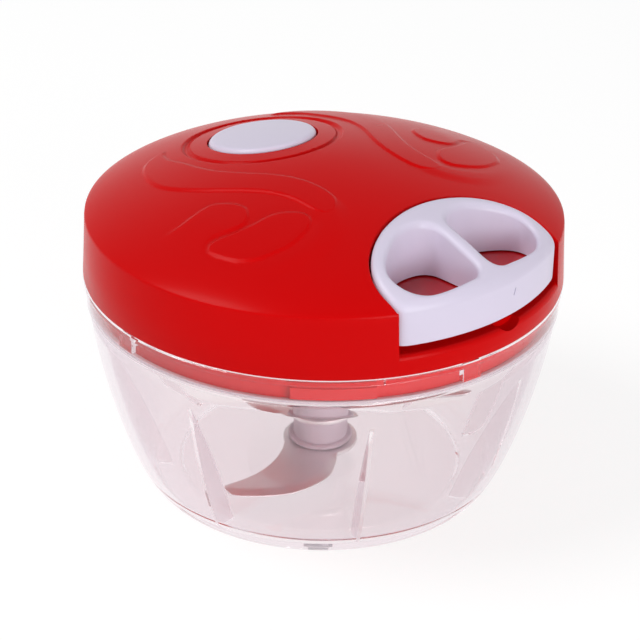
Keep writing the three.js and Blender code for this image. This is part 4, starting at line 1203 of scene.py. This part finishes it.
# %% Shaft
shaft_low, shaft_high = box_mm("blade_shaft")
shaft_top = box_mm("drive_socket")[0][2] - 0.4
STEM, COLLAR_RING = 7.4, 8.8
stem = [(0, shaft_low[2]), (STEM - 0.4, shaft_low[2]), (STEM, shaft_low[2] + 0.4)]
for name in BLADE_TURNS:
    middle = blade_level(name)
    for under, over in ((middle - 2.0, middle - 0.8), (middle + 0.8, middle + 2.0)):
        stem += [(STEM, under), (COLLAR_RING - 0.4, under), (COLLAR_RING, under + 0.4),
                 (COLLAR_RING, over - 0.4), (COLLAR_RING - 0.4, over), (STEM, over)]
stem = [p for k, p in enumerate(stem) if k == 0 or p != stem[k - 1]]
stem += [(STEM, shaft_top - 0.6), (STEM - 0.6, shaft_top), (0, shaft_top)]
shaft = lathe("shaft", [p for p in stem if p[1] >= shaft_low[2]], 96)
dogs = round_axis(sector(2.3, 7.3, 47.5, 72.5, shaft_top - 1.2, shaft_high[2]), 3, 0, FROSTED)
shaft = joined(shaft, rod(4.6, shaft_top - 1.2, shaft_high[2], 48), dogs)
shaft = cut(shaft, rod(3.0, shaft_low[2] - 1, 24.5, 48))
dress(soften(shaft), "translucent_shaft", "blade_body", FROSTED, ["blade_shaft"])

# %% [markdown]
# ## Cord and springs, by Geometry Nodes
# A cord, a coil and a flat spiral are all one thing: a section swept along a path. One Geometry
# Nodes group does that for every one of them. The path is a chain of points, and the section's
# width and height are named inputs, round for cord and wire and oblong for the flat strip.

# %% Geometry Nodes: a section along a path
def sweep_tree():
    tree, into, out = geometry_group(
        "Section along a path", Width="Float", Height="Float", Sides="Int", Material="Material")
    path = tree.nodes.new("GeometryNodeMeshToCurve")
    upright = tree.nodes.new("GeometryNodeSetCurveNormal")
    upright.mode = "Z_UP"
    section = node(tree, "GeometryNodeCurvePrimitiveCircle", Radius=0.5)
    size = node(tree, "ShaderNodeCombineXYZ", Z=1.0)
    stretch = tree.nodes.new("GeometryNodeTransform")
    sweep = tree.nodes.new("GeometryNodeCurveToMesh")
    sweep.inputs["Fill Caps"].default_value = True
    connect(tree, (into["Geometry"], path.inputs["Mesh"]), (path.outputs[0], upright.inputs["Curve"]),
            (into["Sides"], section.inputs["Resolution"]), (into["Width"], size.inputs["X"]),
            (into["Height"], size.inputs["Y"]), (section.outputs[0], stretch.inputs["Geometry"]),
            (size.outputs[0], stretch.inputs["Scale"]), (upright.outputs[0], sweep.inputs["Curve"]),
            (stretch.outputs[0], sweep.inputs["Profile Curve"]))
    return finish_group(tree, sweep.outputs[0], into, out)


SWEEP = sweep_tree()


def swept(name, path, width, height, sides, paint):
    mesh = bpy.data.meshes.new(name)
    steps = [(k, k + 1) for k in range(len(path) - 1)]
    mesh.from_pydata((np.asarray(path, float) * MM).tolist(), steps, [])
    return run_group(link(name, mesh), SWEEP, width=width * MM, height=height * MM, sides=sides,
                     material=paint)


# %% Cord: winding and free end
CORD_WIDTH = 1.5
WIND = 13.65
PITCH = 2.03
TURNS = 3.5
bend_x = HANDLE_INNER - 0.4 - WALL - 0.7 - CLEARANCE - CORD_WIDTH / 2
start_angle = -math.acos(WIND / bend_x)
turns = np.linspace(0, TURNS, 3 * 64)
coils = np.column_stack([polar(WIND, start_angle - FULL_TURN * turns), CORD_Z - PITCH * turns])
winding = swept("winding", coils, CORD_WIDTH, CORD_WIDTH, 12, CORD)
dress(soften(winding, 60), "wound_cord", "drum_body", CORD, ["cord_winding"])

grip = HANDLE_INNER
leave = coils[0]
bend = np.array([bend_x, 0, CORD_Z])
free = [leave + (bend - leave) * share for share in (0.045, 0.3, 0.6, 0.85, 0.95)]
free += [(bend_x + 0.2, -0.03, CORD_Z), (bend_x + 1.2, 0, CORD_Z), (grip - 1.0, 0, CORD_Z)]
free += [(x, 0, CORD_Z) for x in np.linspace(grip - 0.8, grip + 0.8, 9)]
cord = swept("cord", free, CORD_WIDTH, CORD_WIDTH, 16, CORD)
soften(cord, 60)
cord.name = cord.data.name = "free_cord"
cord.data.materials.clear()
cord.data.materials.append(CORD)
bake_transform(cord)
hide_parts("pull_cord")
print("free cord points", len(cord.data.vertices))

# %% [markdown]
# ## The knot
# A figure-eight knot keeps the cord in the handle. At this size it reads as a tight ball with
# strands running over it. The line is a torus knot squeezed into a ball, swept with the cord's own
# section.

# %% Knot
t = np.linspace(0, FULL_TURN, 160)
swing = 1.05 + 0.42 * np.cos(3 * t)
knot_line = np.column_stack([polar(swing, 2 * t), 0.62 * np.sin(3 * t)])
knot = swept("knot", knot_line * 0.72 + (KNOT_X, 0, CORD_Z), 1.1, 1.1, 10, CORD)
dress(soften(knot, 60), "tight_knot", "handle_body", CORD, ["cord_knot"])

# %% Springs: flat spiral and button coil
t = np.linspace(0, 1, 5 * 72)
SPIRAL_TURNS, SPIRAL_INNER, SPIRAL_OUTER = 4.5, 11.75, DRUM_RADIUS - 2.15
flat = polar(SPIRAL_INNER + (SPIRAL_OUTER - SPIRAL_INNER) * t, FULL_TURN * SPIRAL_TURNS * t)
spring_low, spring_high = box_mm("recoil_spring")
level = np.full(len(t), (spring_low[2] + spring_high[2]) / 2)
spiral = swept("spiral", np.column_stack([flat, level]), 0.5, spring_high[2] - spring_low[2], 12,
               STEEL)
dress(soften(spiral, 50), "recoil_spiral", "lid_body", STEEL, ["recoil_spring"])

coil_low, coil_high = box_mm("button_spring")
WIRE, COIL, COIL_TURNS = 0.6, 3.35, 3
t = np.linspace(0, 1, 120)
rise = coil_low[2] + WIRE / 2 + (coil_high[2] - coil_low[2] - WIRE) * t
helix = np.column_stack([polar(COIL, FULL_TURN * COIL_TURNS * t) + (BUTTON_X, 0), rise])
coil = swept("coil", helix, WIRE, WIRE, 10, STEEL)
dress(soften(coil, 60), "button_coil", "button_body", STEEL, ["button_spring"])
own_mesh(coil)

# %% [markdown]
# ## Pieces kept from the CAD model
# Pins, screws, the drum and the washer are plain turned parts that hardly show. They keep their
# CAD shape and get the finish of their material.

# %% Dress the kept nodes
KEPT = {
    "pivot_pin": ("steel", STEEL), "drum_axle": ("steel", STEEL), "cord_guide": ("steel", STEEL),
    "drum_screw": ("steel", STEEL), "button_clip": ("steel", STEEL),
    "shaft_seal": ("silicone", SILICONE), "thrust_washer": ("grey_plastic", GREY),
    "drum": ("pale_plastic", PALE), "drive_socket": ("pale_plastic", PALE),
    **{f"cover_screw_{k}": ("steel", STEEL) for k in (1, 2, 3, 4)},
}
for name, (slot_name, finish) in KEPT.items():
    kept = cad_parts[name]
    kept.data.materials.clear()
    kept.data.materials.append(finish)
print("kept", len(KEPT))

# %% [markdown]
# ## Floor, light and camera
# The photo is a bright studio shot on white. A wide pale floor catches a faint shadow. The light
# is mostly even, with a large soft lamp high on the camera's left and a weaker one low on its
# right. Rays that come straight from the camera, from a mirror or through glass see plain white.
# The camera's place follows from the measured width of the lid and the ellipse of its rim.

# %% Floor
def sees_background(tree):
    """1 for rays from the camera, from a mirror or through glass, 0 for rays that light things."""
    ray = tree.nodes.new("ShaderNodeLightPath").outputs
    return any_of(tree, ray["Is Camera Ray"], ray["Is Glossy Ray"], ray["Is Transmission Ray"])


HALF_FLOOR = 2000
corners = [(HALF_FLOOR * x, HALF_FLOOR * y, 0) for x, y in ((-1, -1), (1, -1), (1, 1), (-1, 1))]
floor = make("floor", corners, [[0, 1, 2, 3]])
paper = bpy.data.materials.new("paper")
paper.use_nodes = True
tree = paper.node_tree
shader = tree.nodes["Principled BSDF"]
shader.inputs["Base Color"].default_value = (0.9, 0.9, 0.9, 1)
shader.inputs["Roughness"].default_value = 0.9
glow = node(tree, "ShaderNodeEmission", Strength=1.12)
share = calculate(tree, "MULTIPLY", sees_background(tree), 0.75)
connect(tree, (choose(tree, share, shader, glow), tree.nodes["Material Output"].inputs["Surface"]))
floor.data.materials.append(paper)
print("floor", 2 * HALF_FLOOR * MM, "m wide")

# %% World: even light, weaker from above
world = bpy.data.worlds.new("studio")
bpy.context.scene.world = world
world.use_nodes = True
tree = world.node_tree
soft_light = tree.nodes["Background"]
soft_light.inputs["Color"].default_value = (1, 1, 1, 1)
white = node(tree, "ShaderNodeBackground", Color=(1, 1, 1, 1), Strength=1.0)
direction, parts = tree.nodes.new("ShaderNodeTexCoord"), tree.nodes.new("ShaderNodeSeparateXYZ")
fade = tree.nodes.new("ShaderNodeMapRange")
fade.interpolation_type = "SMOOTHSTEP"
for label, value in (("From Min", 0.03), ("From Max", 0.3), ("To Min", 1.0), ("To Max", 0.22)):
    fade.inputs[label].default_value = value
connect(tree, (direction.outputs["Generated"], parts.inputs[0]),
        (parts.outputs["Z"], fade.inputs["Value"]),
        (fade.outputs["Result"], soft_light.inputs["Strength"]),
        (choose(tree, sees_background(tree), soft_light, white),
         tree.nodes["World Output"].inputs["Surface"]))
print("world", world.name, "with", len(tree.nodes), "nodes")


# %% Lamps
def lamp(name, place, power):
    light = bpy.data.lights.new(name, "AREA")
    light.shape = "DISK"
    light.size = 0.6
    light.energy = power
    lamp_object = link(name, light)
    lamp_object.location = place
    towards = Vector((0, 0, 0.05)) - Vector(place)
    lamp_object.rotation_euler = towards.to_track_quat("-Z", "Y").to_euler()
    print(name, "lamp", round(towards.length, 2), "m away")


lamp("key", (-0.35, -0.55, 1.0), 7.4)
lamp("fill", (1.05, -0.2, 0.3), 5.4)

# %% Camera
DISTANCE = 0.590
ELEVATION, AZIMUTH, ROLL = np.radians((27.73, -44.6, 1.10)).tolist()
AIM = Vector((0, 0, 0.045))
PICTURE_WIDTH = 640
camera = link("camera", bpy.data.cameras.new("camera"))
back = Vector((math.cos(AZIMUTH) * math.cos(ELEVATION), math.sin(AZIMUTH) * math.cos(ELEVATION),
               math.sin(ELEVATION)))
camera.location = AIM + back * DISTANCE
camera.rotation_mode = "QUATERNION"
camera.rotation_quaternion = (-back).to_track_quat("-Z", "Y")
camera.rotation_quaternion.rotate(Matrix.Rotation(ROLL, 3, back))
camera.data.sensor_width = 36
camera.data.lens = 123.75
camera.data.shift_x = -2.5 / PICTURE_WIDTH
camera.data.shift_y = -5.8 / PICTURE_WIDTH
bpy.context.scene.camera = camera
bpy.context.scene.view_settings.view_transform = "Standard"
print("camera at", tuple(round(c, 4) for c in camera.location))
